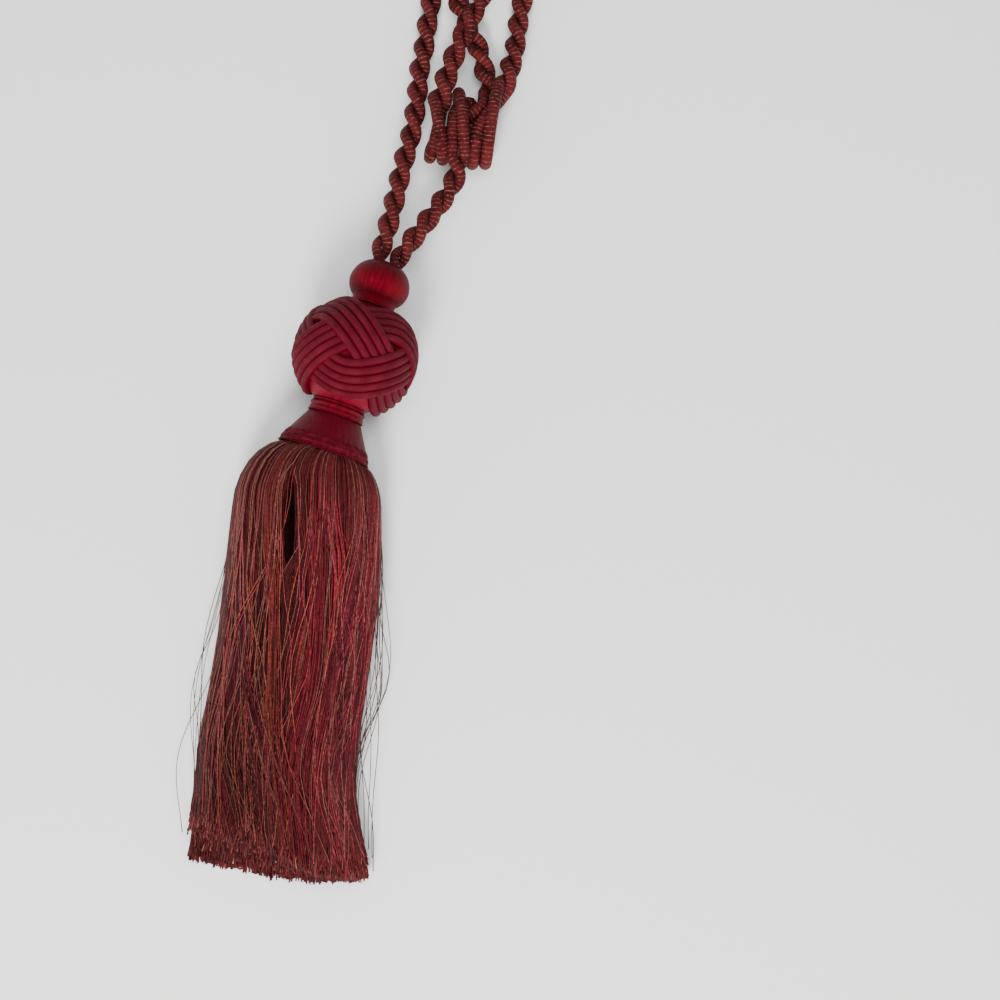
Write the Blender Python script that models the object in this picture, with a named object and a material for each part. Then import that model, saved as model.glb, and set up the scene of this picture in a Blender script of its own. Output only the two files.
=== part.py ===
"""Curtain tieback tassel, lying on its side on a flat surface.

A satin-wound ball wears a braid of five parallel cords. A cap sits above the ball, a ring and a
flared collar below it, and a skirt of thread locks comes out of the collar. One two-strand rope
rises from the cap, is knotted, and ends in the two loops that go over a hook on the wall.

Metres, +Z up. The tassel's head points to +Y and the surface it lies on is z = 0. The origin is
below the middle of the tassel itself, rope left out.
"""

import math
import random

import bmesh
import bpy
from mathutils import Matrix, Vector

GAP = 0.0003                    # air between two pieces that touch

# The head's place: the ball's centre, and how its axis and the collar's lean.
BALL_CENTRE = Vector((0.0235, 0.0974, 0.0287))
HEAD_TURN = math.radians(17.8)      # from +Y toward +X
CAP_RISE = math.radians(-1.0)       # the cap droops a little from the ball
COLLAR_RISE = math.radians(4.0)     # the ball stands a little above the collar

# Ball and its braid: a three-lead, four-bight Turk's head of five parallel cords.
BALL_RADIUS = 0.0257
BALL_SEGMENTS, BALL_RINGS = 24, 12
BIGHTS = 4
LEADS = 3
BRAID_LATITUDE = math.radians(36.0)     # how far a band's middle swings from the equator
BRAID_TURN = math.radians(88.0)         # azimuth of one upper crossing, 90 degrees being on top
BRAID_SEAT = 0.0008                     # underside of the braid above the ball
BRAID_CREST = 0.0021                    # a cord's crest above the braid's underside
BRAID_WEAVE = 0.0009                    # how much that rises over, and falls under, a crossing
CORD_PITCH = 0.0038                     # from one cord of the band to the next
CORDS_PER_BAND = 5
CORD_GROOVE = 0.0011                    # depth of the groove between two cords
BAND_EDGE = 0.0003                      # height of a band's edge above its underside
OVER_CROSSING = math.radians(60.0)      # phase at which a band lies over another
BAND_BEFORE = math.radians(112.0)       # phase of a band's length before that crossing
BAND_AFTER = math.radians(50.0)         # and after it
BAND_STEPS = 11
PHASE_AHEAD = 0.01                         # small step along a band, for its direction

# Turned pieces, as (radius, distance from the ball's centre along the axis).
CAP_SEAT_RADII = (0.0030, 0.0068, 0.0102)       # the hollow under the cap, out to its neck
RING_SEAT_RADII = (0.0040, 0.0090, 0.0120)      # the hollow on top of the ring
CAP_TOP = 0.0450
CAP_PROFILE = (
    (0.0102, 0.0279),
    (0.0118, 0.0286),
    (0.0134, 0.0313),
    (0.0139, 0.0350),
    (0.0133, 0.0387),
    (0.0117, 0.0420),
    (0.0100, 0.0441),
    (0.0088, CAP_TOP),
)
RING_PROFILE = (
    (0.0129, -0.0254),
    (0.0123, -0.0261),
    (0.0128, -0.0276),
    (0.0124, -0.0291),
)
COLLAR_TOP = -0.0294
COLLAR_RIM = -0.0465
COLLAR_PROFILE = (
    (0.0121, COLLAR_TOP),
    (0.0129, -0.0335),
    (0.0146, -0.0375),
    (0.0168, -0.0410),
    (0.0192, -0.0440),
    (0.0205, COLLAR_RIM),
)
TURNED_SEGMENTS = 24

# The gimp braid sewn round the collar above its rim.
GIMP_TOP = -0.0395
GIMP_BOTTOM = -0.0462
GIMP_HEIGHT = 0.0014
GIMP_SCALLOPS = 24
GIMP_SCALLOP_DEPTH = 0.0005
GIMP_EDGE_SHARE = 0.7               # height of its edges as a share of its height
GIMP_CLEARANCE = 2.2 * GAP          # off the collar, whose sides are flat between its points

# Skirt: a backing under the collar, and locks of thread that run from it along the surface.
LOCK_COLUMNS, LOCK_ROWS = 16, 8
LOCK_FILL = 0.84                    # share of its cell that a lock fills
BACKING_TOP = COLLAR_RIM - GAP
BACKING_TOP_RADIUS = 0.0195
REST_REACH = 0.0015                 # the backing is level with the surface from this height down
SHOULDERS = ((0.20, 0.60), (0.55, 0.92))    # (share of the way down, share of the way out)
SKIRT_ROOT_Y = 0.0360
SKIRT_END_UNDER_Y = -0.1407         # ends of the lowest locks
SKIRT_END_OVER_Y = -0.1210          # ends of the topmost locks
END_RAGGED = 0.0025
END_SEED = 4
SKIRT_SECTIONS = (                  # (share of the length, middle x, half width, height)
    (0.00, 0.0020, 0.0334, 0.0460),
    (0.25, -0.0003, 0.0352, 0.0390),
    (0.50, -0.0050, 0.0347, 0.0325),
    (0.75, -0.0118, 0.0357, 0.0265),
    (1.00, -0.0114, 0.0418, 0.0205),
)
FLAT_SHARE = 0.75                   # share of the half width over which the underside is level
EDGE_SHARE = 0.35                   # height of the skirt's side edges as a share of its height

# Rope: two strands laid together, S twist.
STRAND = 0.0052                     # one strand's diameter
ROPE_PITCH = 0.0220                 # one full turn of the twist
RINGS_PER_PITCH = 7
BOUND_GIRTH = 0.80                  # the rope's girth where the cap grips it
BOUND_LENGTH = 0.012
ROPE_REST = 0.0054                  # height of the rope's middle where it lies on the surface
ROPE_SECTION = (                    # across both strands and through them, in strand diameters
    (0.90, -0.36), (0.90, 0.36), (0.0, 0.18), (-0.90, 0.36), (-0.90, -0.36), (0.0, -0.18),
)
SPANS = 6                           # smooth steps between two points of the route
ROPE_ROUTE = (
    # up from the cap along the knot's left side
    (0.0330, 0.1420, 0.0279), (0.0346, 0.1470, 0.0278), (0.0369, 0.1555, 0.0272),
    (0.0393, 0.1661, 0.0255), (0.0419, 0.1790, 0.0228), (0.0443, 0.1919, 0.0200),
    (0.0472, 0.2038, 0.0175), (0.0489, 0.2139, 0.0155), (0.0502, 0.2239, 0.0135),
    (0.0510, 0.2341, 0.0115), (0.0519, 0.2448, 0.0095), (0.0534, 0.2528, 0.0080),
    (0.0550, 0.2660, 0.0065), (0.0568, 0.2790, ROPE_REST),
    # first loop
    (0.0572, 0.3050, ROPE_REST), (0.0545, 0.3320, ROPE_REST), (0.0500, 0.3600, ROPE_REST),
    (0.0455, 0.3890, ROPE_REST), (0.0440, 0.4170, ROPE_REST), (0.0490, 0.4410, ROPE_REST),
    (0.0615, 0.4540, ROPE_REST), (0.0745, 0.4490, ROPE_REST), (0.0815, 0.4310, ROPE_REST),
    (0.0805, 0.4050, ROPE_REST), (0.0765, 0.3720, ROPE_REST), (0.0720, 0.3380, ROPE_REST),
    (0.0690, 0.3070, ROPE_REST), (0.0693, 0.2820, ROPE_REST), (0.0740, 0.2664, ROPE_REST),
    (0.0799, 0.2537, ROPE_REST), (0.0832, 0.2407, ROPE_REST), (0.0850, 0.2318, 0.0072),
    # through the knot, round behind and up over its front
    (0.0837, 0.2217, 0.0125), (0.0745, 0.2137, 0.0131), (0.0652, 0.2070, 0.0096),
    (0.0605, 0.2027, 0.0060), (0.0594, 0.1961, 0.0105), (0.0600, 0.1962, 0.0165),
    (0.0604, 0.2077, 0.0206), (0.0608, 0.2208, 0.0195), (0.0631, 0.2304, 0.0175),
    (0.0658, 0.2401, 0.0162), (0.0696, 0.2502, 0.0162), (0.0748, 0.2630, 0.0164),
    (0.0806, 0.2765, 0.0130),
    # second loop
    (0.0855, 0.2930, 0.0075), (0.0900, 0.3150, ROPE_REST), (0.0960, 0.3410, ROPE_REST),
    (0.1030, 0.3690, ROPE_REST), (0.1095, 0.3970, ROPE_REST), (0.1145, 0.4240, ROPE_REST),
    (0.1235, 0.4430, ROPE_REST), (0.1370, 0.4480, ROPE_REST), (0.1480, 0.4390, ROPE_REST),
    (0.1500, 0.4190, ROPE_REST), (0.1455, 0.3920, ROPE_REST), (0.1365, 0.3610, ROPE_REST),
    (0.1255, 0.3310, ROPE_REST), (0.1120, 0.3030, ROPE_REST), (0.1010, 0.2790, ROPE_REST),
    (0.0986, 0.2662, 0.0066), (0.0970, 0.2530, 0.0095), (0.0945, 0.2411, 0.0135),
    (0.0912, 0.2299, 0.0175),
    # over the knot's front, once round it, and down to the cap
    (0.0866, 0.2192, 0.0200), (0.0830, 0.2077, 0.0206), (0.0815, 0.1966, 0.0170),
    (0.0806, 0.1942, 0.0110), (0.0791, 0.1999, 0.0056), (0.0767, 0.2130, 0.0056),
    (0.0738, 0.2247, 0.0060), (0.0720, 0.2278, 0.0110), (0.0711, 0.2220, 0.0175),
    (0.0712, 0.2077, 0.0206), (0.0712, 0.1962, 0.0185), (0.0698, 0.1877, 0.0175),
    (0.0647, 0.1775, 0.0192), (0.0574, 0.1659, 0.0224), (0.0506, 0.1559, 0.0254),
    (0.0435, 0.1446, 0.0277), (0.0418, 0.1395, 0.0279),
)
FLAT_RUNS = ((31, 39), (63, 74))    # stretches of the route where the strands lie side by side


def material(name, colour, roughness):
    """A plain dyed-yarn material of one colour."""
    yarn = bpy.data.materials.new(name)
    yarn.use_nodes = True
    shader = yarn.node_tree.nodes["Principled BSDF"]
    shader.inputs["Base Color"].default_value = (*colour, 1.0)
    shader.inputs["Roughness"].default_value = roughness
    shader.inputs["Metallic"].default_value = 0.0
    yarn.diffuse_color = (*colour, 1.0)
    return yarn


def make_object(name, mesh_maker, yarn, frame=None):
    """Link one closed mesh as an object, faces turned outward."""
    bmesh.ops.recalc_face_normals(mesh_maker, faces=mesh_maker.faces[:])
    mesh = bpy.data.meshes.new(name)
    mesh_maker.to_mesh(mesh)
    mesh_maker.free()
    mesh.materials.append(yarn)
    piece = bpy.data.objects.new(name, mesh)
    bpy.context.collection.objects.link(piece)
    if frame is not None:
        piece.matrix_world = frame
    return piece


def smooth_shade(piece, degrees):
    """Shade round, but keep edges sharper than this angle."""
    piece.data.shade_smooth()
    piece.data.set_sharp_from_angle(angle=math.radians(degrees))


def axis_frame(rise):
    """Frame at the ball's centre: Z along the tassel's axis to the cap, Y away from the surface."""
    level = math.cos(rise)
    along = Vector((math.sin(HEAD_TURN) * level, math.cos(HEAD_TURN) * level, math.sin(rise)))
    left = Vector((-math.cos(HEAD_TURN), math.sin(HEAD_TURN), 0.0))
    turn = Matrix((left, along.cross(left), along)).transposed()
    return Matrix.Translation(BALL_CENTRE) @ turn.to_4x4()


def turned(name, profile, yarn, frame):
    """Solid of revolution about the frame's Z; the profile runs from one face to the other."""
    maker = bmesh.new()
    rings = []
    for radius, height in profile:
        ring = []
        for step in range(TURNED_SEGMENTS):
            angle = 2.0 * math.pi * step / TURNED_SEGMENTS
            place = (radius * math.cos(angle), radius * math.sin(angle), height)
            ring.append(maker.verts.new(place))
        rings.append(ring)
    for upper, lower in zip(rings, rings[1:]):
        bridge(maker, upper, lower)
    maker.faces.new(rings[0])
    maker.faces.new(rings[-1])
    piece = make_object(name, maker, yarn, frame)
    smooth_shade(piece, 40.0)
    return piece


def bridge(maker, first, second):
    """Quads between two closed loops of equal count."""
    count = len(first)
    for step in range(count):
        after = (step + 1) % count
        maker.faces.new((first[step], first[after], second[after], second[step]))


def seat_on_ball(radius):
    """Height above the ball's centre of a seat that clears the ball at this radius."""
    return math.sqrt((BALL_RADIUS + GAP) ** 2 - radius ** 2)


# ---------------------------------------------------------------- head


def build_ball(yarn):
    """The satin-wound ball."""
    maker = bmesh.new()
    bmesh.ops.create_uvsphere(
        maker, u_segments=BALL_SEGMENTS, v_segments=BALL_RINGS, radius=BALL_RADIUS
    )
    ball = make_object("ball", maker, yarn, axis_frame(CAP_RISE))
    smooth_shade(ball, 60.0)


def build_cap(yarn):
    """Domed cap on a short neck; its underside is hollowed to sit on the ball."""
    under = [(radius, seat_on_ball(radius)) for radius in CAP_SEAT_RADII]
    profile = under + list(CAP_PROFILE)
    turned("cap", profile, yarn, axis_frame(CAP_RISE))


def build_ring(yarn):
    """Satin neck and ring below the ball, hollowed to the ball's curve."""
    over = [(radius, -seat_on_ball(radius)) for radius in RING_SEAT_RADII]
    turned("neck_ring", over + list(RING_PROFILE), yarn, axis_frame(COLLAR_RISE))


def build_collar(yarn):
    """Satin collar, flared like a bell down to its rim."""
    turned("collar", COLLAR_PROFILE, yarn, axis_frame(COLLAR_RISE))


def collar_radius(height):
    """Radius of the collar's outside at a distance along its axis."""
    for (radius_a, height_a), (radius_b, height_b) in zip(COLLAR_PROFILE, COLLAR_PROFILE[1:]):
        if height_b <= height <= height_a:
            share = (height_a - height) / (height_a - height_b)
            return radius_a + (radius_b - radius_a) * share
    raise ValueError("height is off the collar")


def build_gimp(yarn):
    """Scalloped braid round the collar: a ring of six-sided section, proud at each scallop."""
    edge = GIMP_CLEARANCE + GIMP_EDGE_SHARE * GIMP_HEIGHT
    middle = 0.5 * (GIMP_TOP + GIMP_BOTTOM)
    heights = (GIMP_TOP, middle, GIMP_BOTTOM)
    steps = 2 * GIMP_SCALLOPS
    maker = bmesh.new()
    loops = []
    for step in range(steps):
        angle = 2.0 * math.pi * step / steps
        proud = GIMP_CLEARANCE + GIMP_HEIGHT + GIMP_SCALLOP_DEPTH * (step % 2)
        section = [(collar_radius(height) + GIMP_CLEARANCE, height) for height in heights]
        section.append((collar_radius(GIMP_BOTTOM) + edge, GIMP_BOTTOM))
        section.append((collar_radius(middle) + proud, middle))
        section.append((collar_radius(GIMP_TOP) + edge, GIMP_TOP))
        loops.append([
            maker.verts.new((radius * math.cos(angle), radius * math.sin(angle), height))
            for radius, height in section
        ])
    for step in range(steps):
        bridge(maker, loops[step], loops[(step + 1) % steps])
    gimp = make_object("collar_gimp", maker, yarn, axis_frame(COLLAR_RISE))
    smooth_shade(gimp, 50.0)


# ---------------------------------------------------------------- ball braid


def band_direction(phase, centre_phase, centre_azimuth):
    """Unit vector to the middle of a band at one phase of its swing."""
    azimuth = centre_azimuth + (phase - centre_phase) * LEADS / BIGHTS
    latitude = BRAID_LATITUDE * math.cos(phase)
    level = math.cos(latitude)
    return Vector((level * math.cos(azimuth), level * math.sin(azimuth), math.sin(latitude)))


def band_section():
    """Outline across one band, as (offset along the ball, height in cord crests)."""
    half = 0.5 * CORDS_PER_BAND * CORD_PITCH
    groove = 1.0 - CORD_GROOVE / BRAID_CREST
    outline = [(-half, BAND_EDGE / BRAID_CREST)]
    for cord in range(CORDS_PER_BAND):
        outline.append(((cord + 0.5) * CORD_PITCH - half, 1.0))
        if cord < CORDS_PER_BAND - 1:
            outline.append(((cord + 1.0) * CORD_PITCH - half, groove))
    outline.append((half, BAND_EDGE / BRAID_CREST))
    outline.append((0.0, 0.0))
    return outline


def build_band(name, centre_phase, centre_azimuth, frame, yarn):
    """One stretch of the braid, from where it comes out under a crossing to where it dives."""
    maker = bmesh.new()
    inner = BALL_RADIUS + BRAID_SEAT
    floor_point = frame.inverted() @ Vector((BALL_CENTRE.x, BALL_CENTRE.y, 0.0))
    down = floor_point.normalized()
    loops = []
    for step in range(BAND_STEPS + 1):
        phase = centre_phase - BAND_BEFORE + (BAND_BEFORE + BAND_AFTER) * step / BAND_STEPS
        middle = band_direction(phase, centre_phase, centre_azimuth)
        ahead = band_direction(phase + PHASE_AHEAD, centre_phase, centre_azimuth)
        aside = middle.cross(ahead).normalized()
        crest = BRAID_CREST + BRAID_WEAVE * math.sin(2.0 * phase)
        loop = []
        for offset, share in band_section():
            swing = offset / inner
            outward = middle * math.cos(swing) + aside * math.sin(swing)
            place = outward * (inner + crest * share)
            sunk = place.dot(down) - BALL_CENTRE.z
            if sunk > 0.0:
                place -= down * sunk
            loop.append(maker.verts.new(place))
        loops.append(loop)
    for first, second in zip(loops, loops[1:]):
        bridge(maker, first, second)
    maker.faces.new(loops[0])
    maker.faces.new(loops[-1])
    return make_object(name, maker, yarn, frame)


def build_braid(yarn):
    """The braid: two rows of crossings, whose bands are joined under one another."""
    frame = axis_frame(CAP_RISE)
    braid = None
    for row, centre_phase in enumerate((OVER_CROSSING, OVER_CROSSING + math.pi)):
        for bight in range(BIGHTS):
            azimuth = BRAID_TURN + 2.0 * math.pi * (bight + 0.5 * row) / BIGHTS
            if braid is None:
                braid = build_band("ball_braid", centre_phase, azimuth, frame, yarn)
                continue
            name = "band_%d_%d" % (row, bight)
            band = build_band(name, centre_phase, azimuth, frame, yarn)
            band.hide_render = True
            band.display_type = "WIRE"
            union = braid.modifiers.new(name, "BOOLEAN")
            union.operation = "UNION"
            union.solver = "EXACT"
            union.object = band
    smooth_shade(braid, 35.0)


# ---------------------------------------------------------------- skirt


def between(columns, share):
    """Read a short table at a share of its first column, by straight lines between rows."""
    for row, after in zip(columns, columns[1:]):
        if share <= after[0]:
            part = (share - row[0]) / (after[0] - row[0])
            return [a + (b - a) * part for a, b in zip(row[1:], after[1:])]
    return list(columns[-1][1:])


def disc_point(column, row):
    """Map a point of the lock grid, -1 to 1 both ways, onto a unit disc."""
    return (
        column * math.sqrt(1.0 - 0.5 * row * row),
        row * math.sqrt(1.0 - 0.5 * column * column),
    )


def skirt_point(column, row, share):
    """Place of a grid point at a share of the skirt's length."""
    across, upward = disc_point(column, row)
    middle, half_width, height = between(SKIRT_SECTIONS, share)
    reach = math.sqrt(max(0.0, 1.0 - across * across))
    level = 0.5 if reach < 1e-6 else 0.5 + 0.5 * max(-1.0, min(1.0, upward / reach))
    edge = max(0.0, (abs(across) - FLAT_SHARE) / (1.0 - FLAT_SHARE))
    low = height * EDGE_SHARE * edge * edge
    high = height * (EDGE_SHARE + (1.0 - EDGE_SHARE) * reach)
    end = SKIRT_END_UNDER_Y + (SKIRT_END_OVER_Y - SKIRT_END_UNDER_Y) * level
    return Vector((
        middle + half_width * across,
        SKIRT_ROOT_Y + (end - SKIRT_ROOT_Y) * share,
        low + (high - low) * level,
    ))


def grid_share(step, count):
    """A line of the lock grid as a share from -1 to 1."""
    return 2.0 * step / count - 1.0


def lock_corners(column, row, share, fill):
    """The four corners of one lock's cross-section, drawn in from its cell by the fill."""
    spots = ((0, 0), (1, 0), (1, 1), (0, 1))
    corners = [
        skirt_point(
            grid_share(column + across, LOCK_COLUMNS), grid_share(row + up, LOCK_ROWS), share
        )
        for across, up in spots
    ]
    centre = sum(corners, Vector()) / 4.0
    drawn = [centre + (corner - centre) * fill for corner in corners]
    if row == 0 and share > 0.0:
        for corner in drawn[:2]:
            corner.z = 0.0
    return drawn


def boundary(grid):
    """The rim of the lock grid, once round."""
    rim = [grid[column][0] for column in range(LOCK_COLUMNS)]
    rim += [grid[LOCK_COLUMNS][row] for row in range(LOCK_ROWS)]
    rim += [grid[column][LOCK_ROWS] for column in range(LOCK_COLUMNS, 0, -1)]
    rim += [grid[0][row] for row in range(LOCK_ROWS, 0, -1)]
    return rim


def build_skirt(yarn):
    """Backing and locks as one body: each lock is drawn out of a face of the backing."""
    chance = random.Random(END_SEED)
    maker = bmesh.new()
    grid = []
    for column in range(LOCK_COLUMNS + 1):
        line = []
        for row in range(LOCK_ROWS + 1):
            spot = skirt_point(
                grid_share(column, LOCK_COLUMNS), grid_share(row, LOCK_ROWS), 0.0
            )
            line.append(maker.verts.new(spot))
        grid.append(line)
    shares = [section[0] for section in SKIRT_SECTIONS]
    for column in range(LOCK_COLUMNS):
        for row in range(LOCK_ROWS):
            cell = (
                grid[column][row], grid[column + 1][row],
                grid[column + 1][row + 1], grid[column][row + 1],
            )
            last = cell
            ragged = chance.uniform(-END_RAGGED, END_RAGGED)
            for share in shares:
                corners = lock_corners(column, row, share, LOCK_FILL)
                if share == shares[-1]:
                    corners = [corner + Vector((0.0, ragged, 0.0)) for corner in corners]
                ring = [maker.verts.new(corner) for corner in corners]
                bridge(maker, last, ring)
                last = ring
            maker.faces.new(last)

    frame = axis_frame(COLLAR_RISE)
    root = boundary(grid)
    top = []
    for vert in root:
        local = frame.inverted() @ vert.co
        angle = math.atan2(local.y, local.x)
        spot = (
            BACKING_TOP_RADIUS * math.cos(angle), BACKING_TOP_RADIUS * math.sin(angle), BACKING_TOP
        )
        top.append(frame @ Vector(spot))
    downward = -(frame.to_3x3() @ Vector((0.0, 0.0, 1.0)))
    last = [maker.verts.new(spot) for spot in top]
    maker.faces.new(last)
    for along, outward in SHOULDERS:
        loop = []
        for high, low in zip(top, root):
            travel = low.co - high
            straight = downward * travel.dot(downward)
            spot = high + straight * along + (travel - straight) * outward
            if spot.z < REST_REACH:
                spot.z = 0.0
            loop.append(maker.verts.new(spot))
        bridge(maker, last, loop)
        last = loop
    bridge(maker, last, root)
    make_object("skirt", maker, yarn)


# ---------------------------------------------------------------- rope


def smooth_route():
    """The route as many close points on one smooth curve, each with its place in the list."""
    points = [Vector(point) for point in ROPE_ROUTE]
    padded = [2.0 * points[0] - points[1]] + points + [2.0 * points[-1] - points[-2]]
    curve = []
    for index in range(len(points) - 1):
        before, start, end, after = padded[index:index + 4]
        for step in range(SPANS):
            t = step / SPANS
            spot = 0.5 * (
                2.0 * start
                + (end - before) * t
                + (2.0 * before - 5.0 * start + 4.0 * end - after) * t * t
                + (3.0 * start - before - 3.0 * end + after) * t * t * t
            )
            curve.append((index + t, spot))
    curve.append((len(points) - 1.0, points[-1]))
    return curve


def rope_stations():
    """Evenly spaced (length so far, place in the list, point) along the rope."""
    curve = smooth_route()
    lengths = [0.0]
    for (_, spot), (_, after) in zip(curve, curve[1:]):
        lengths.append(lengths[-1] + (after - spot).length)
    count = round(lengths[-1] / (ROPE_PITCH / RINGS_PER_PITCH))
    stations = []
    reached = 0
    for step in range(count + 1):
        target = lengths[-1] * step / count
        while reached < len(curve) - 2 and lengths[reached + 1] < target:
            reached += 1
        part = (target - lengths[reached]) / (lengths[reached + 1] - lengths[reached])
        place = curve[reached][0] + (curve[reached + 1][0] - curve[reached][0]) * part
        spot = curve[reached][1].lerp(curve[reached + 1][1], part)
        stations.append((target, place, spot))
    return stations


def carried_frames(stations):
    """A side vector at each station, carried along the curve without twist."""
    spots = [spot for _, _, spot in stations]
    frames = []
    side = Vector((1.0, 0.0, 0.0))
    for index, spot in enumerate(spots):
        before = spots[max(0, index - 1)]
        after = spots[min(len(spots) - 1, index + 1)]
        ahead = (after - before).normalized()
        side = (side - ahead * side.dot(ahead)).normalized()
        frames.append((ahead, side.copy()))
    return frames


def level_turn(frame):
    """Turn that lays the two strands side by side across the knot, seen in a carried frame."""
    ahead, side = frame
    across = Vector((1.0, 0.0, 0.0))
    across = (across - ahead * across.dot(ahead)).normalized()
    return math.atan2(across.dot(ahead.cross(side)), across.dot(side))


def strand_turns(stations, frames):
    """The twist at each station: a steady lay, and none where the strands lie side by side."""
    rate = 2.0 * math.pi / ROPE_PITCH
    turns = [None] * len(stations)
    for first, last in FLAT_RUNS:
        for index, (_, place, _) in enumerate(stations):
            if first <= place <= last:
                turns[index] = level_turn(frames[index])
    known = [index for index, turn in enumerate(turns) if turn is not None]
    for index in range(known[0] - 1, -1, -1):
        turns[index] = turns[index + 1] + rate * (stations[index + 1][0] - stations[index][0])
    for index in range(known[-1] + 1, len(turns)):
        turns[index] = turns[index - 1] - rate * (stations[index][0] - stations[index - 1][0])
    for before, after in zip(known, known[1:]):
        if after == before + 1:
            continue
        length = stations[after][0] - stations[before][0]
        wanted = -rate * length
        miss = turns[after] - turns[before] - wanted
        miss -= math.pi * round(miss / math.pi)
        for index in range(before + 1, after):
            share = (stations[index][0] - stations[before][0]) / length
            turns[index] = turns[before] + (wanted + miss) * share
    return turns


def girth(length_so_far, total):
    """The rope is drawn in where the cap grips its two ends."""
    near = min(length_so_far, total - length_so_far) / BOUND_LENGTH
    return BOUND_GIRTH + (1.0 - BOUND_GIRTH) * min(1.0, near)


def build_rope(yarn):
    """Both strands as one body, drawn along the route with their twist."""
    stations = rope_stations()
    frames = carried_frames(stations)
    turns = strand_turns(stations, frames)
    total = stations[-1][0]
    maker = bmesh.new()
    loops = []
    for (length, _, spot), (ahead, side), turn in zip(stations, frames, turns):
        upward = ahead.cross(side)
        across = side * math.cos(turn) + upward * math.sin(turn)
        through = ahead.cross(across)
        size = STRAND * girth(length, total)
        loops.append([
            maker.verts.new(spot + across * (a * size) + through * (b * size))
            for a, b in ROPE_SECTION
        ])
    for first, second in zip(loops, loops[1:]):
        bridge(maker, first, second)
    maker.faces.new(loops[0])
    maker.faces.new(loops[-1])
    make_object("rope", maker, yarn)


def main():
    """Clear the scene and make every piece."""
    for old in list(bpy.data.objects):
        bpy.data.objects.remove(old, do_unlink=True)
    satin = material("crimson_satin", (0.28, 0.008, 0.020), 0.35)
    braid = material("crimson_cord", (0.20, 0.008, 0.022), 0.60)
    gimp = material("crimson_gimp", (0.22, 0.009, 0.022), 0.65)
    rope = material("russet_rope", (0.16, 0.020, 0.016), 0.60)
    thread = material("mixed_thread", (0.19, 0.022, 0.016), 0.55)
    build_ball(satin)
    build_cap(satin)
    build_ring(satin)
    build_collar(satin)
    build_gimp(gimp)
    build_braid(braid)
    build_skirt(thread)
    build_rope(rope)


main()
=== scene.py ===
"""Looks of the curtain tieback tassel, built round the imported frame.

Metres, +Z up. The tassel lies on z = 0 with its head toward +Y and its skirt's ends toward -Y.
"""

import math

import bpy
import numpy as np
from mathutils import Matrix, Vector


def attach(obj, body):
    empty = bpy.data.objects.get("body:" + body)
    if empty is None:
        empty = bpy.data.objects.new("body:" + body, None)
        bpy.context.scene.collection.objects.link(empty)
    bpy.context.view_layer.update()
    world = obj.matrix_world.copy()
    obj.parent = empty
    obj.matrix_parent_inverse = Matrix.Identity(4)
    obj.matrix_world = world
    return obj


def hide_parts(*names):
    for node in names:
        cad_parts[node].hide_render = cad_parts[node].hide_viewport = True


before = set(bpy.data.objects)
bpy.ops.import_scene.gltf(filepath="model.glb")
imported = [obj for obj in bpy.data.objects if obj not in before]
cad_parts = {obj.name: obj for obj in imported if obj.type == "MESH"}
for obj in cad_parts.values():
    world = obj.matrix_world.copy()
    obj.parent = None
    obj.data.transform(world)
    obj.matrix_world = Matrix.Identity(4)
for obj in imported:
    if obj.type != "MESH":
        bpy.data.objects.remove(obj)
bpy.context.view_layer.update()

BODY = "root"

# ------------------------------ camera, floor and light

CAMERA_TARGET = Vector((0.0900, 0.0315, 0.0250))
CAMERA_ELEVATION = math.radians(80.0)
CAMERA_DISTANCE = 1.10
VIEW_WIDTH = 0.455                  # what the frame spans at the target
SENSOR_MM = 36.0

FLOOR_REACH, FLOOR_BELOW = 4.0, 0.0003
FLOOR_TONE, FLOOR_ROUGHNESS = 0.86, 0.9
SKY_STRENGTH = 0.75
LIGHTS = (                          # name, place, aim, size, power, colour
    ("key", (-0.20, -1.20, 1.15), (0.0, 0.0, 0.02), 0.50, 46.0, (1.0, 0.98, 0.96)),
    ("top", (0.25, 0.15, 1.60), (0.0, 0.0, 0.0), 0.90, 16.0, (1.0, 1.0, 1.0)),
)


def build_camera():
    """Camera above the tassel, looking steeply down from the skirt's end."""
    data = bpy.data.cameras.new("camera")
    data.sensor_width = SENSOR_MM
    data.lens = SENSOR_MM * CAMERA_DISTANCE / VIEW_WIDTH
    camera = bpy.data.objects.new("camera", data)
    bpy.context.collection.objects.link(camera)
    tilt = 0.5 * math.pi - CAMERA_ELEVATION
    away = Vector((0.0, -math.sin(tilt), math.cos(tilt)))
    camera.location = CAMERA_TARGET + away * CAMERA_DISTANCE
    camera.rotation_euler = (tilt, 0.0, 0.0)
    bpy.context.scene.camera = camera


def area_light(name, place, aim, size, power, colour):
    """Round soft light at a place, turned to its aim."""
    data = bpy.data.lights.new(name, "AREA")
    data.shape = "DISK"
    data.size = size
    data.energy = power
    data.color = colour
    light = bpy.data.objects.new(name, data)
    light.location = place
    light.rotation_euler = (Vector(aim) - Vector(place)).to_track_quat("-Z", "Y").to_euler()
    bpy.context.collection.objects.link(light)


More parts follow.
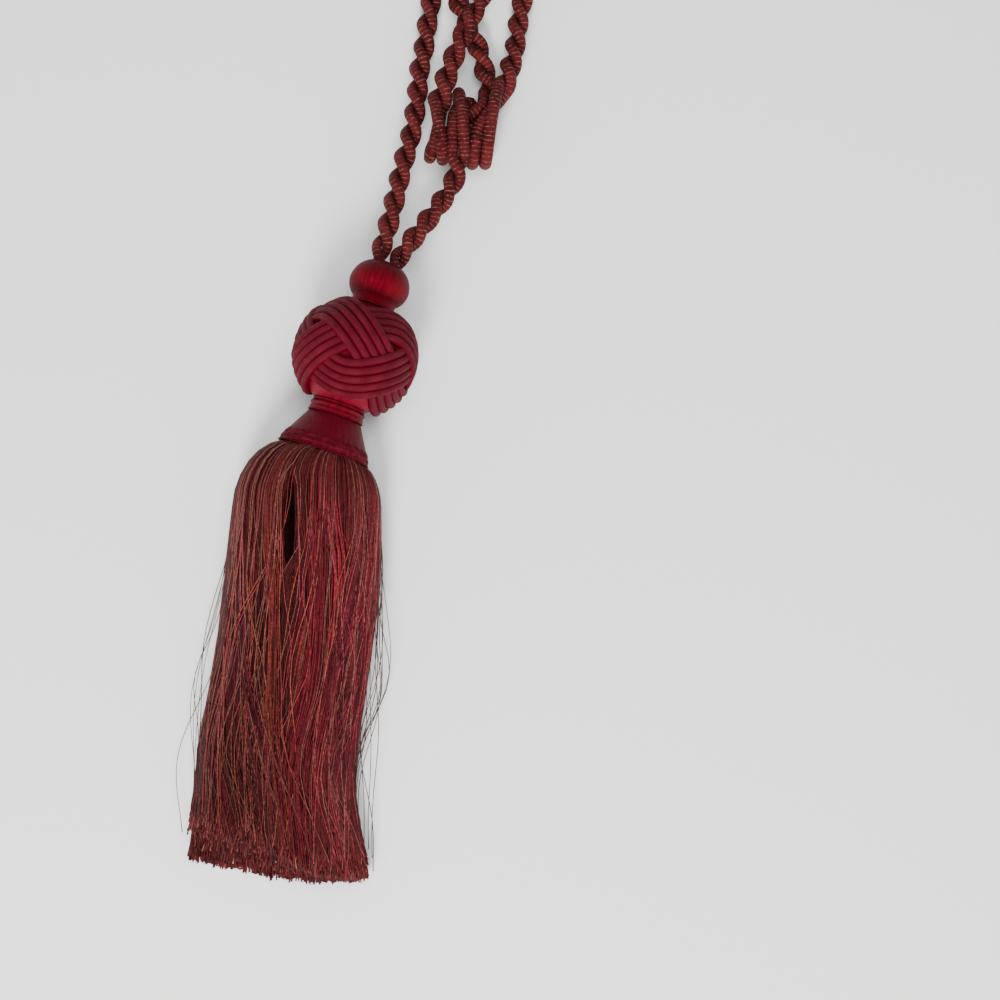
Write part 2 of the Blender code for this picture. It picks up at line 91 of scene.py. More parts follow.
def build_studio():
    """Pale floor, even surroundings, a soft key from the skirt's end and a weak light from above."""
    mesh = bpy.data.meshes.new("floor")
    square = ((-1.0, -1.0), (1.0, -1.0), (1.0, 1.0), (-1.0, 1.0))
    corners = [(x * FLOOR_REACH, y * FLOOR_REACH, -FLOOR_BELOW) for x, y in square]
    mesh.from_pydata(corners, [], [(0, 1, 2, 3)])
    floor = bpy.data.objects.new("floor", mesh)
    bpy.context.collection.objects.link(floor)
    paper = bpy.data.materials.new("paper")
    paper.use_nodes = True
    shader = paper.node_tree.nodes["Principled BSDF"]
    shader.inputs["Base Color"].default_value = (FLOOR_TONE, FLOOR_TONE, FLOOR_TONE, 1.0)
    shader.inputs["Roughness"].default_value = FLOOR_ROUGHNESS
    mesh.materials.append(paper)

    world = bpy.data.worlds.new("studio")
    world.use_nodes = True
    sky = world.node_tree.nodes["Background"]
    sky.inputs["Color"].default_value = (1.0, 1.0, 1.0, 1.0)
    sky.inputs["Strength"].default_value = SKY_STRENGTH
    bpy.context.scene.world = world
    for row in LIGHTS:
        area_light(*row)


# ------------------------------ meshes from arrays

FLOOR_CLEAR = 0.0002                # the lowest that a cord's surface may lie
LAYER_KINDS = {1: ("FLOAT", "value"), 3: ("FLOAT_VECTOR", "vector"), 4: ("FLOAT_COLOR", "color")}


def add_piece(name, points, loops, sizes, looks, node=None, attributes=None):
    """One mesh piece from its points, its faces' corners and sizes, and values kept per point."""
    mesh = bpy.data.meshes.new(name)
    mesh.vertices.add(len(points))
    mesh.vertices.foreach_set("co", np.asarray(points, dtype=np.float32).ravel())
    mesh.loops.add(len(loops))
    mesh.loops.foreach_set("vertex_index", np.asarray(loops, dtype=np.int32))
    mesh.polygons.add(len(sizes))
    starts = np.concatenate(([0], np.cumsum(sizes)[:-1]))
    mesh.polygons.foreach_set("loop_start", starts.astype(np.int32))
    mesh.update(calc_edges=True)
    mesh.shade_smooth()
    for key, values in (attributes or {}).items():
        values = np.asarray(values, dtype=np.float32).ravel()
        kind, field = LAYER_KINDS[len(values) // len(points)]
        mesh.attributes.new(key, kind, "POINT").data.foreach_set(field, values)
    mesh.materials.append(looks)
    piece = bpy.data.objects.new(name, mesh)
    bpy.context.collection.objects.link(piece)
    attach(piece, BODY)
    if node is not None:
        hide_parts(node)
    return piece


def unit(vectors):
    """The same directions, each one long."""
    return vectors / np.maximum(np.linalg.norm(vectors, axis=-1, keepdims=True), 1e-12)


def smooth_at(points, places):
    """Points of the smooth curve through a list, at places counted along that list."""
    points = np.asarray(points, dtype=float)
    padded = np.vstack((2.0 * points[0] - points[1], points, 2.0 * points[-1] - points[-2]))
    span = np.minimum(np.asarray(places).astype(int), len(points) - 2)
    t = (places - span)[:, None]
    before, start, end, after = (padded[span + k] for k in range(4))
    return 0.5 * (
        2.0 * start
        + (end - before) * t
        + (2.0 * before - 5.0 * start + 4.0 * end - after) * t * t
        + (3.0 * start - before - 3.0 * end + after) * t * t * t
    )


def carried_sides(paths):
    """Two side vectors at every ring of every path, carried along it without twist."""
    ahead = unit(np.gradient(paths, axis=1))
    side = np.empty_like(paths)
    last = np.cross(ahead[:, 0], np.array((0.0, 0.0, 1.0)))
    last = np.where(np.linalg.norm(last, axis=1, keepdims=True) < 1e-3, (1.0, 0.0, 0.0), last)
    for ring in range(paths.shape[1]):
        here = ahead[:, ring]
        last = unit(last - here * np.sum(last * here, axis=1, keepdims=True))
        side[:, ring] = last
    return side, np.cross(ahead, side)


def tube_points(paths, radii, sides):
    """Points round every path: tubes, rings, sides, xyz."""
    side, upward = carried_sides(paths)
    angles = 2.0 * np.pi * np.arange(sides) / sides
    round_x = np.cos(angles)[None, None, :, None]
    round_y = np.sin(angles)[None, None, :, None]
    spread = side[:, :, None, :] * round_x + upward[:, :, None, :] * round_y
    return paths[:, :, None, :] + spread * radii[:, :, None, None]


def tube_faces(tubes, rings, sides):
    """Faces of closed tubes laid out as tube_points gives them."""
    number = np.arange(tubes * rings * sides).reshape(tubes, rings, sides)
    near, far = number[:, :-1], number[:, 1:]
    walls = np.stack((near, np.roll(near, -1, axis=2), np.roll(far, -1, axis=2), far), axis=-1)
    caps = np.concatenate((number[:, 0, ::-1], number[:, -1, :]), axis=0)
    loops = np.concatenate((walls.reshape(-1), caps.reshape(-1)))
    sizes = np.concatenate((np.full(walls.size // 4, 4), np.full(len(caps), sides)))
    return loops, sizes


def add_tubes(name, paths, radii, sides, looks, node=None, attributes=None, lowest=FLOOR_CLEAR):
    """One piece of closed tubes round the paths, none of it below the lowest height."""
    points = tube_points(paths, radii, sides).reshape(-1, 3)
    points[:, 2] = np.maximum(points[:, 2], lowest)
    loops, sizes = tube_faces(len(paths), paths.shape[1], sides)
    return add_piece(name, points, loops, sizes, looks, node, attributes)


def walked_along(paths):
    """Length walked along every path at each of its rings."""
    steps = np.linalg.norm(np.diff(paths, axis=1), axis=2)
    return np.concatenate((np.zeros((len(paths), 1)), np.cumsum(steps, axis=1)), axis=1)


def per_point(values, sides):
    """Repeat a value of each tube's ring for each of its points."""
    return np.repeat(values[:, :, None], sides, axis=2).reshape(-1)


# ------------------------------ materials

# Colours are red, green and blue, linear. Scales count a pattern's grains in a metre.
LIP_RED = (1.0, 0.16, 0.22)         # what the red yarns' gloss is tinted with
SATIN_ROUGHNESS = 0.42
SATIN_STREAKS, SATIN_FINE = 16.0, 55.0      # grains in a radius, round the axis
SATIN_DRAWN = 9.0                   # how many such radii a metre along the axis counts as
# Painted shade: the colour that the satin is darkened toward along its axis, and at most how far.
SATIN_PAINTED_SHADE, SATIN_PAINTED_SHADE_MOST = (0.020, 0.0010, 0.0028), 0.62
SATIN_THIN = 0.0020                 # the radius that the streaks count as the least
SATIN_RELIEF = 0.00012
CORD_ROUGHNESS, CORD_SPECULAR = 0.65, 0.12
CORD_PATCHES = 160.0
CORD_RELIEF = 0.00006
ROPE_ROUGHNESS, ROPE_SPECULAR, ROPE_GLOSS = 0.60, 0.15, (1.0, 0.35, 0.30)
ROPE_YARN_DARK, ROPE_YARN_LIGHT = (0.028, 0.0034, 0.0042), (0.086, 0.0105, 0.0118)
ROPE_LINE_WARM, ROPE_LINE_PINK = (0.215, 0.085, 0.066), (0.205, 0.066, 0.064)
ROPE_PATCHES, ROPE_BREAKS, ROPE_TINTS, ROPE_WAVERS = 120.0, 750.0, 60.0, 330.0
ROPE_WAVER = 0.0011                 # how far a light line strays along the strand
FINE_RIB = 0.00047                  # pitch of the finest wound thread
YARN_ROUGHNESS, YARN_SPECULAR, YARN_GLOSS = 0.45, 0.28, (1.0, 0.42, 0.38)
YARN_SPECKLES = 820.0
SPECKLE_RED, SPECKLE_OTHER = (0.70, 1.30), (0.64, 1.36)
GIMP_ROUGHNESS, GIMP_SPECULAR = 0.60, 0.12
GIMP_PATCHES, GIMP_GRAIN = 420.0, 2600.0
GIMP_RELIEF = 0.00015


class Looks:
    """A Principled material and the few node steps that the yarns need."""

    def __init__(self, name, roughness, specular, tint=LIP_RED):
        self.material = bpy.data.materials.new(name)
        self.material.use_nodes = True
        self.tree = self.material.node_tree
        self.shader = self.tree.nodes["Principled BSDF"]
        self.shader.inputs["Roughness"].default_value = roughness
        self.shader.inputs["Specular IOR Level"].default_value = specular
        self.shader.inputs["Specular Tint"].default_value = (*tint, 1.0)

    def feed(self, socket, value):
        if isinstance(value, bpy.types.NodeSocket):
            self.tree.links.new(value, socket)
        else:
            socket.default_value = (*value, 1.0) if isinstance(value, tuple) else value

    def node(self, kind, inputs=(), **settings):
        """A new node. inputs: its values in order, or a dict of them by socket."""
        made = self.tree.nodes.new(kind)
        for key, value in settings.items():
            setattr(made, key, value)
        for socket, value in (inputs if isinstance(inputs, dict) else dict(enumerate(inputs))).items():
            self.feed(made.inputs[socket], value)
        return made

    def attribute(self, name):
        return self.node("ShaderNodeAttribute", attribute_name=name)

    def maths(self, operation, *values):
        return self.node("ShaderNodeMath", values, operation=operation).outputs[0]

    def add(self, first, second):
        return self.maths("ADD", first, second)

    def times(self, first, second):
        return self.maths("MULTIPLY", first, second)

    def wave(self, along, pitch):
        """A sine wave along a value."""
        return self.maths("SINE", self.times(along, 2.0 * math.pi / pitch))

    def mix(self, share, first, second, blend="MIX"):
        inputs = {0: share, 6: first, 7: second}
        return self.node("ShaderNodeMix", inputs, data_type="RGBA", blend_type=blend).outputs[2]

    def noise(self, vector, scale, detail):
        inputs = {"Vector": vector, "Scale": scale, "Detail": detail}
        return self.node("ShaderNodeTexNoise", inputs).outputs["Fac"]

    def range(self, value, low, high, to_low=0.0, to_high=1.0):
        return self.node("ShaderNodeMapRange", (value, low, high, to_low, to_high)).outputs[0]

    def vector(self, *parts):
        return self.node("ShaderNodeCombineXYZ", parts).outputs[0]

    def place(self):
        """The point's own place on the object, in metres."""
        return self.node("ShaderNodeTexCoord").outputs["Object"]

    def patches(self, scale, detail, low, high, to_low=0.0, to_high=1.0):
        """Soft patches all over the piece, from a low value to a high one."""
        return self.range(self.noise(self.place(), scale, detail), low, high, to_low, to_high)

    def relief(self, height, distance):
        made = self.node("ShaderNodeBump", {"Strength": 1.0, "Distance": distance, "Height": height})
        self.feed(self.shader.inputs["Normal"], made.outputs[0])

    def colour(self, value):
        self.feed(self.shader.inputs["Base Color"], value)


def wound_satin(name, dark, light, lines, specular, painted_shade):
    """Satin thread laid along the head's axis, in streaks. Its last argument gives where painted shade
    darkens it along the axis, from and to.
    """
    looks = Looks(name, SATIN_ROUGHNESS, specular)
    x, y, z = looks.node("ShaderNodeSeparateXYZ", [looks.attribute("lathe").outputs["Vector"]]).outputs
    threads = looks.maths("SINE", looks.times(looks.maths("ARCTAN2", y, x), float(lines)))
    radius = looks.maths("SQRT", looks.add(looks.times(x, x), looks.times(y, y)))
    radius = looks.maths("MAXIMUM", radius, SATIN_THIN)
    round_axis = [looks.maths("DIVIDE", side, radius) for side in (x, y)]
    across = looks.vector(*round_axis, looks.times(z, SATIN_DRAWN))
    streak = looks.noise(across, SATIN_STREAKS, 4.0)
    fine = looks.noise(across, SATIN_FINE, 2.0)
    both = looks.add(looks.times(streak, 0.6), looks.times(fine, 0.4))
    thread = looks.mix(looks.range(both, 0.36, 0.64), dark, light)
    # Painted shade: the satin darkens toward one end of its axis, where less light falls.
    if painted_shade is not None:
        painted_shade_share = looks.range(z, *painted_shade, 0.0, SATIN_PAINTED_SHADE_MOST)
        thread = looks.mix(painted_shade_share, thread, SATIN_PAINTED_SHADE)
    looks.colour(thread)
    looks.relief(looks.add(looks.times(threads, 0.5), looks.times(fine, 1.5)), SATIN_RELIEF)
    return looks.material


def ribbed_cord(name):
    """Cord with fine thread wound round it, so ribs cross it, and a deeper red painted on its flanks as
    painted shade where it meets its neighbours.
    """
    looks = Looks(name, CORD_ROUGHNESS, CORD_SPECULAR)
    along = looks.attribute("along").outputs["Fac"]
    wave = looks.wave(along, CORD_RIB)
    share = looks.add(looks.patches(CORD_PATCHES, 3.0, 0.3, 0.7, 0.05, 0.8), looks.times(wave, 0.10))
    thread = looks.mix(looks.maths("MAXIMUM", share, 0.0), CORD_DARK, CORD_LIGHT)
    # Painted shade: a deeper red on the cord's flanks, in the grooves between cords.
    groove_shade = looks.range(looks.attribute("groove_shade").outputs["Fac"], 0.20, 0.50)
    looks.colour(looks.mix(groove_shade, thread, CORD_PAINTED_GROOVE_SHADE))
    looks.relief(wave, CORD_RELIEF)
    return looks.material


def rope_yarn(name):
    """The rope's strand: red-brown thread wound in ribs, a broken light line in each groove."""
    looks = Looks(name, ROPE_ROUGHNESS, ROPE_SPECULAR, ROPE_GLOSS)
    along = looks.attribute("along").outputs["Fac"]
    waver = looks.times(looks.noise(looks.place(), ROPE_WAVERS, 1.0), ROPE_WAVER)
    step = looks.maths("FRACT", looks.maths("DIVIDE", looks.add(along, waver), RIB_PITCH))
    edge = looks.maths("ABSOLUTE", looks.maths("SUBTRACT", step, 0.5))
    line = looks.range(edge, 0.36, 0.46)
    broken = looks.patches(ROPE_BREAKS, 1.0, 0.38, 0.62, 0.06, 0.95)
    yarn = looks.mix(looks.patches(ROPE_PATCHES, 3.0, 0.3, 0.7), ROPE_YARN_DARK, ROPE_YARN_LIGHT)
    thread = looks.mix(looks.patches(ROPE_TINTS, 1.0, 0.4, 0.6), ROPE_LINE_WARM, ROPE_LINE_PINK)
    looks.colour(looks.mix(looks.times(line, broken), yarn, thread))
    looks.relief(looks.wave(along, FINE_RIB), CORD_RELIEF)
    return looks.material


def skirt_yarn(name):
    """Fine silky threads, each in its own colour, finely speckled: random tone along the yarn, and partly
    painted highlights of its twist.
    """
    looks = Looks(name, YARN_ROUGHNESS, YARN_SPECULAR, YARN_GLOSS)
    tint = looks.attribute("tint").outputs["Color"]
    # Speckles: partly random tone, partly painted highlight, the glints of the thread's twist.
    speckle = looks.noise(looks.place(), YARN_SPECKLES, 1.0)
    reaches = (SPECKLE_RED, SPECKLE_OTHER, SPECKLE_OTHER)
    speckled = looks.vector(*(looks.range(speckle, 0.35, 0.65, *reach) for reach in reaches))
    looks.colour(looks.mix(1.0, tint, speckled, blend="MULTIPLY"))
    return looks.material


def gimp_thread(name):
    """The gimp's cords: patchy red with a fuzzy grain."""
    looks = Looks(name, GIMP_ROUGHNESS, GIMP_SPECULAR)
    looks.colour(looks.mix(looks.patches(GIMP_PATCHES, 3.0, 0.35, 0.65), GIMP_DARK, GIMP_LIGHT))
    looks.relief(looks.noise(looks.place(), GIMP_GRAIN, 1.0), GIMP_RELIEF)
    return looks.material


# ------------------------------ rope

STRAND = 0.0052
ROPE_PITCH = 0.0240
ROPE_REST = 0.0054
BOUND_GIRTH, BOUND_LENGTH = 0.80, 0.012     # its ends, bound thin where they enter the cap
FLAT_RUNS = ((31, 39), (63, 74))    # the route's points between which it is drawn tight in the knot
# Points of the route, with the half turns that the strands have rolled, and how much fuller they are.
FLAT_ROLLS = (
    (31.0, 0.0), (36.0, 0.0), (39.0, 0.65), (63.0, 0.30),
    (65.4, 1.0), (69.8, 1.0), (72.4, 1.75), (74.0, 2.0),
)
FLAT_GIRTHS = (
    (29.5, 1.0), (32.0, 1.14), (39.0, 1.16), (42.0, 1.0),
    (61.0, 1.0), (64.0, 1.16), (73.0, 1.14), (75.5, 1.0),
)
RING_STEP = 0.00047                 # along the rope
STRAND_SIDES = 12
STRAND_RIB = 0.00013                # how far the wound thread stands out
RIB_PITCH = 0.00188
ROPE_ROUTE = (                      # where no height is given, the rope rests on the surface
    # up from the cap along the knot's left side
    (0.0330, 0.1420, 0.0279), (0.0346, 0.1470, 0.0278), (0.0369, 0.1555, 0.0272),
    (0.0393, 0.1661, 0.0255), (0.0419, 0.1790, 0.0228), (0.0443, 0.1919, 0.0200),
    (0.0472, 0.2038, 0.0175), (0.0489, 0.2139, 0.0155), (0.0502, 0.2239, 0.0135),
    (0.0510, 0.2341, 0.0115), (0.0519, 0.2448, 0.0095), (0.0534, 0.2528, 0.0080),
    (0.0550, 0.2660, 0.0065), (0.0568, 0.2790),
    # first loop
    (0.0572, 0.3050), (0.0545, 0.3320), (0.0500, 0.3600), (0.0455, 0.3890), (0.0440, 0.4170),
    (0.0490, 0.4410), (0.0615, 0.4540), (0.0745, 0.4490), (0.0815, 0.4310), (0.0805, 0.4050),
    (0.0765, 0.3720), (0.0720, 0.3380), (0.0690, 0.3070), (0.0693, 0.2820), (0.0740, 0.2664),
    (0.0799, 0.2537), (0.0832, 0.2407), (0.0850, 0.2318, 0.0072),
    # through the knot, round behind and up over its front
    (0.0837, 0.2217, 0.0125), (0.0745, 0.2137, 0.0131), (0.0652, 0.2070, 0.0096),
    (0.0605, 0.2042, 0.0060), (0.0598, 0.1984, 0.0105), (0.0606, 0.1986, 0.0165),
    (0.0611, 0.2087, 0.0206), (0.0611, 0.2208, 0.0197), (0.0631, 0.2304, 0.0177),
    (0.0658, 0.2401, 0.0162), (0.0696, 0.2502, 0.0162), (0.0748, 0.2630, 0.0164),
    (0.0806, 0.2765, 0.0130),
    # second loop
    (0.0855, 0.2930, 0.0075), (0.0900, 0.3150), (0.0960, 0.3410), (0.1030, 0.3690),
    (0.1095, 0.3970), (0.1145, 0.4240), (0.1235, 0.4430), (0.1370, 0.4480), (0.1480, 0.4390),
    (0.1500, 0.4190), (0.1455, 0.3920), (0.1365, 0.3610), (0.1255, 0.3310), (0.1120, 0.3030),
    (0.1010, 0.2790), (0.0986, 0.2662, 0.0066), (0.0970, 0.2530, 0.0095), (0.0945, 0.2411, 0.0135),
    (0.0912, 0.2299, 0.0175),
    # over the knot's front, once round it, and down to the cap
    (0.0862, 0.2192, 0.0200), (0.0824, 0.2077, 0.0206), (0.0808, 0.1974, 0.0170),
    (0.0800, 0.1952, 0.0110), (0.0791, 0.1999, 0.0056), (0.0767, 0.2130, 0.0056),
    (0.0738, 0.2247, 0.0060), (0.0716, 0.2272, 0.0110), (0.0704, 0.2214, 0.0178),
    (0.0702, 0.2077, 0.0212), (0.0704, 0.1965, 0.0190), (0.0694, 0.1877, 0.0175),
    (0.0647, 0.1775, 0.0192), (0.0574, 0.1659, 0.0224), (0.0506, 0.1559, 0.0254),
    (0.0435, 0.1446, 0.0277), (0.0418, 0.1395, 0.0279),
)
ROPE_SPANS = 24                     # smooth steps between two points of the route


def smooth_line(points, spans):
    """One smooth curve through the points, with each step's place in the list."""
    points = np.asarray(points)
    places = np.append(np.arange((len(points) - 1) * spans) / spans, len(points) - 1.0)
    return places, smooth_at(points, places)


def even_steps(places, curve, step):
    """The same curve at even steps: length so far, place in the list, point."""
    lengths = np.concatenate(([0.0], np.cumsum(np.linalg.norm(np.diff(curve, axis=0), axis=1))))
    target = np.linspace(0.0, lengths[-1], int(round(lengths[-1] / step)) + 1)
    spots = np.stack([np.interp(target, lengths, curve[:, k]) for k in range(3)], axis=1)
    return target, np.interp(target, lengths, places), spots


def strand_turns(lengths, places, side, upward):
    """The twist along the rope: a steady lay, and slow rolls where the knot draws it tight."""
    rate = 2.0 * math.pi / ROPE_PITCH
    level = np.arctan2(upward[:, 0], side[:, 0])
    known = np.zeros(len(places), dtype=bool)
    for first, last in FLAT_RUNS:
        known |= (places >= first) & (places <= last)
    roll = math.pi * np.interp(places, *zip(*FLAT_ROLLS))
    turns = np.where(known, np.unwrap(level) - roll, 0.0)
    marks = np.flatnonzero(known)
    start, end = marks[0], marks[-1]
    turns[:start] = turns[start] + rate * (lengths[start] - lengths[:start])
    turns[end + 1:] = turns[end] - rate * (lengths[end + 1:] - lengths[end])
    for before, after in zip(marks, marks[1:]):
        if after == before + 1:
            continue
        length = lengths[after] - lengths[before]
        wanted = -rate * length
        miss = turns[after] - turns[before] - wanted
        miss -= math.pi * round(miss / math.pi)
        share = (lengths[before + 1:after] - lengths[before]) / length
        turns[before + 1:after] = turns[before] + (wanted + miss) * share
    return turns


def build_rope():
    """Both strands of the rope, laid round each other."""
    places, curve = smooth_line([(*point, ROPE_REST)[:3] for point in ROPE_ROUTE], ROPE_SPANS)
    lengths, places, spots = even_steps(places, curve, RING_STEP)
    sides, upwards = carried_sides(spots[None])
    side, upward = sides[0], upwards[0]
    turns = strand_turns(lengths, places, side, upward)
    total = lengths[-1]
    near = np.minimum(lengths, total - lengths) / BOUND_LENGTH
    girth = BOUND_GIRTH + (1.0 - BOUND_GIRTH) * np.minimum(1.0, near)
    girth = girth * np.interp(places, *zip(*FLAT_GIRTHS))
    across = side * np.cos(turns)[:, None] + upward * np.sin(turns)[:, None]
    offset = across * (0.5 * STRAND * girth)[:, None]
    paths = np.stack((spots + offset, spots - offset))
    walked = walked_along(paths)
    rib = np.abs(np.sin(np.pi * walked / RIB_PITCH)) - 1.0
    radii = 0.5 * STRAND * girth + STRAND_RIB * rib
    rope = add_tubes(
        "rope_strands", paths, radii, STRAND_SIDES, rope_yarn("rope_yarn"), "rope",
        {"along": per_point(walked, STRAND_SIDES)},
    )


# ------------------------------ head

BALL_CENTRE = Vector((0.0235, 0.0974, 0.0287))
HEAD_TURN = math.radians(17.8)
CAP_RISE = math.radians(-1.0)
COLLAR_RISE = math.radians(4.0)
BALL_RADIUS = 0.0257
LATHE_SEGMENTS = 96
LATHE_LEAST = 0.0002                # radius of the hole left at either end, closed by a flat face

# Turned profiles, as (radius, distance from the ball's centre along the axis).
BALL_PROFILE = [
    (BALL_RADIUS * math.sin(math.pi * k / 24), BALL_RADIUS * math.cos(math.pi * k / 24)) for k in range(25)
]
CAP_PROFILE = (
    (0.0003, 0.0466), (0.0035, 0.0465), (0.0066, 0.0460), (0.0093, 0.0447), (0.0117, 0.0425),
    (0.0133, 0.0396), (0.0141, 0.0367), (0.0141, 0.0343), (0.0133, 0.0316), (0.0119, 0.0295),
    (0.0107, 0.0283), (0.0102, 0.0272), (0.0101, 0.0255), (0.0101, 0.0240), (0.0003, 0.0240),
)
RING_PROFILE = (
    (0.0003, -0.0228), (0.0112, -0.0230), (0.0121, -0.0240), (0.0129, -0.0252), (0.0127, -0.0259),
    (0.0123, -0.0263), (0.0125, -0.0270), (0.0128, -0.0277), (0.0127, -0.0285), (0.0122, -0.0292),
    (0.0003, -0.0292),
)
COLLAR_PROFILE = (
    (0.0003, -0.0292), (0.0100, -0.0292), (0.0120, -0.0294), (0.0126, -0.0299), (0.0137, -0.0318),
    (0.0153, -0.0346), (0.0168, -0.0372), (0.0183, -0.0399), (0.0197, -0.0428), (0.0207, -0.0452),
    (0.0209, -0.0463), (0.0200, -0.0467), (0.0003, -0.0467),
)
PLEATS, PLEAT_RELIEF = 64.0, 0.00005
PLEAT_START, PLEAT_RAMP = -0.030, 0.01

# Name, CAD node, profile, smooth steps, rise of its axis; dark and light thread, threads wound side
# by side, gloss, and where painted shade darkens it along the axis. On the ball the painted shade
# darkens all above its lit underside, in the gaps between the braid's bands too; on the cap it
# darkens the top and leaves a painted sheen band below.
HEAD_PIECES = (
    ("ball", "ball", BALL_PROFILE, 3, CAP_RISE,
     (0.130, 0.0030, 0.0120), (0.230, 0.0075, 0.0240), 300, 0.12, (-0.0130, -0.0040)),
    ("cap", "cap", CAP_PROFILE, 8, CAP_RISE,
     (0.078, 0.0019, 0.0058), (0.155, 0.0042, 0.0125), 180, 0.05, (0.0335, 0.0440)),
    ("ring", "neck_ring", RING_PROFILE, 6, COLLAR_RISE,
     (0.054, 0.0018, 0.0050), (0.135, 0.0042, 0.0130), 150, 0.08, None),
    ("collar", "collar", COLLAR_PROFILE, 6, COLLAR_RISE,
     (0.060, 0.0022, 0.0060), (0.096, 0.0038, 0.0098), 190, 0.06, None),
)


def axis_frame(rise):
    """Frame at the ball's centre: Z along the tassel's axis to the cap, Y away from the surface."""
    level = math.cos(rise)
    along = Vector((math.sin(HEAD_TURN) * level, math.cos(HEAD_TURN) * level, math.sin(rise)))
    left = Vector((-math.cos(HEAD_TURN), math.sin(HEAD_TURN), 0.0))
    turn = Matrix((left, along.cross(left), along)).transposed()
    return Matrix.Translation(BALL_CENTRE) @ turn.to_4x4()


def to_world(frame_matrix, points):
    """The points of a frame, in the world."""
    matrix = np.array(frame_matrix)
    return points @ matrix[:3, :3].T + matrix[:3, 3]


def lathe(name, profile, spans, frame_matrix, looks, node, ripple):
    """Turned piece on a smooth profile of (radius, height), closed at both ends on the axis."""
    flat = [(radius, height, 0.0) for radius, height in profile]
    _, line = smooth_line(flat, spans)
    radius, height = np.maximum(line[:, 0], LATHE_LEAST), line[:, 1]
    angles = 2.0 * np.pi * np.arange(LATHE_SEGMENTS) / LATHE_SEGMENTS
    reach = radius[:, None] * np.ones_like(angles)[None]
    if ripple is not None:
        reach = reach + ripple(height[:, None], angles[None])
    heights = np.repeat(height[:, None], LATHE_SEGMENTS, axis=1)
    local = np.stack((reach * np.cos(angles), reach * np.sin(angles), heights), axis=-1).reshape(-1, 3)
    number = np.arange(len(local)).reshape(len(radius), LATHE_SEGMENTS)
    upper, lower = number[:-1], number[1:]
    walls = np.stack((upper, lower, np.roll(lower, -1, axis=1), np.roll(upper, -1, axis=1)), axis=-1)
    loops = np.concatenate((walls.reshape(-1), number[0], number[-1, ::-1]))
    sizes = np.concatenate((np.full(walls.size // 4, 4), (LATHE_SEGMENTS, LATHE_SEGMENTS)))
    world = to_world(frame_matrix, local)
    return add_piece(name, world, loops, sizes, looks, node, {"lathe": local})


def collar_pleats(height, angle):
    """Fine pleats that start below the collar's top."""
    return PLEAT_RELIEF * np.sin(PLEATS * angle) * np.clip((PLEAT_START - height) / PLEAT_RAMP, 0.0, 1.0)


def build_head():
    """Ball, cap, neck ring and collar, each wound with satin thread."""
    for name, node, profile, spans, rise, *satin in HEAD_PIECES:
        looks = wound_satin(name + "_satin", *satin)
        ripple = collar_pleats if node == "collar" else None
        lathe(name + "_wound", profile, spans, axis_frame(rise), looks, node, ripple)


# ------------------------------ gimp round the collar

GIMP_MIDDLE = -0.0431               # along the collar's axis
GIMP_SWING = 0.0017                 # how far a cord swings either side of that
GIMP_CORD = 0.00055                 # a cord's radius
GIMP_SEAT = -0.0002                 # from the collar to a cord's centre
GIMP_CORDS, GIMP_WAVES = 4, 26
GIMP_WAVE_RINGS = 14                # of each wave
GIMP_SIDES = 8
GIMP_RISE = 0.0003                  # how far a cord goes over and under the others
GIMP_DARK, GIMP_LIGHT = (0.050, 0.0022, 0.0055), (0.098, 0.0056, 0.0125)
EDGE_CORDS = ((0.0024, -0.0001), (-0.0027, 0.0001))     # from the gimp's middle, from the collar
EDGE_CORD, EDGE_SWING = 0.00038, 0.00025
COLLAR_SLOPE = ((-0.0452, 0.0207), (-0.0428, 0.0197), (-0.0399, 0.0183), (-0.0372, 0.0168))


def collar_reach(height):
    """The collar's radius at a height."""
    return np.interp(height, *zip(*COLLAR_SLOPE))


def build_gimp():
    """Plaited gimp: cords that swing over and under each other round the collar, a cord at each edge."""
    looks = gimp_thread("gimp_thread")
    rings = GIMP_WAVES * GIMP_WAVE_RINGS
    angle = np.linspace(0.0, 2.0 * np.pi, rings + 1)
    paths = []
    for cord in range(GIMP_CORDS):
        phase = GIMP_WAVES * angle + 2.0 * np.pi * cord / GIMP_CORDS
        height = GIMP_MIDDLE + GIMP_SWING * np.sin(phase)
        reach = collar_reach(height) + GIMP_SEAT + GIMP_RISE * np.sin(2.0 * phase)
        paths.append(np.stack((reach * np.cos(angle), reach * np.sin(angle), height), axis=1))
    for aside, seat in EDGE_CORDS:
        height = GIMP_MIDDLE + aside + EDGE_SWING * np.sin(GIMP_WAVES * angle)
        reach = collar_reach(height) + seat
        paths.append(np.stack((reach * np.cos(angle), reach * np.sin(angle), height), axis=1))
    paths = to_world(axis_frame(COLLAR_RISE), np.array(paths))
    radii = np.full(paths.shape[:2], GIMP_CORD)
    radii[GIMP_CORDS:] = EDGE_CORD
    add_tubes("gimp_plait", paths, radii, GIMP_SIDES, looks, "collar_gimp")


# ------------------------------ braid round the ball

BIGHTS, LEADS = 4, 3
BRAID_LATITUDE = math.radians(36.0) # the farthest that a band goes from the ball's waist
BRAID_TURN = math.radians(88.0)     # of the whole braid about the axis
BRAID_SEAT, BRAID_CREST = 0.0008, 0.0021    # together, how high the cords' tops stand off the ball
BRAID_WEAVE = 0.0009                # how far a band goes over and under
CORD_PITCH = 0.0038
CORDS_PER_BAND = 5
CORD_RADIUS = 0.00212
OVER_CROSSING = math.radians(60.0)  # a band's phase at its top crossing, and what is made round it
BAND_BEFORE, BAND_AFTER = math.radians(112.0), math.radians(50.0)
PHASE_AHEAD = 0.01
CORD_RINGS, CORD_SIDES = 64, 12
CORD_RIB = 0.0007
CORD_DARK, CORD_LIGHT = (0.058, 0.0036, 0.0085), (0.101, 0.0078, 0.0168)
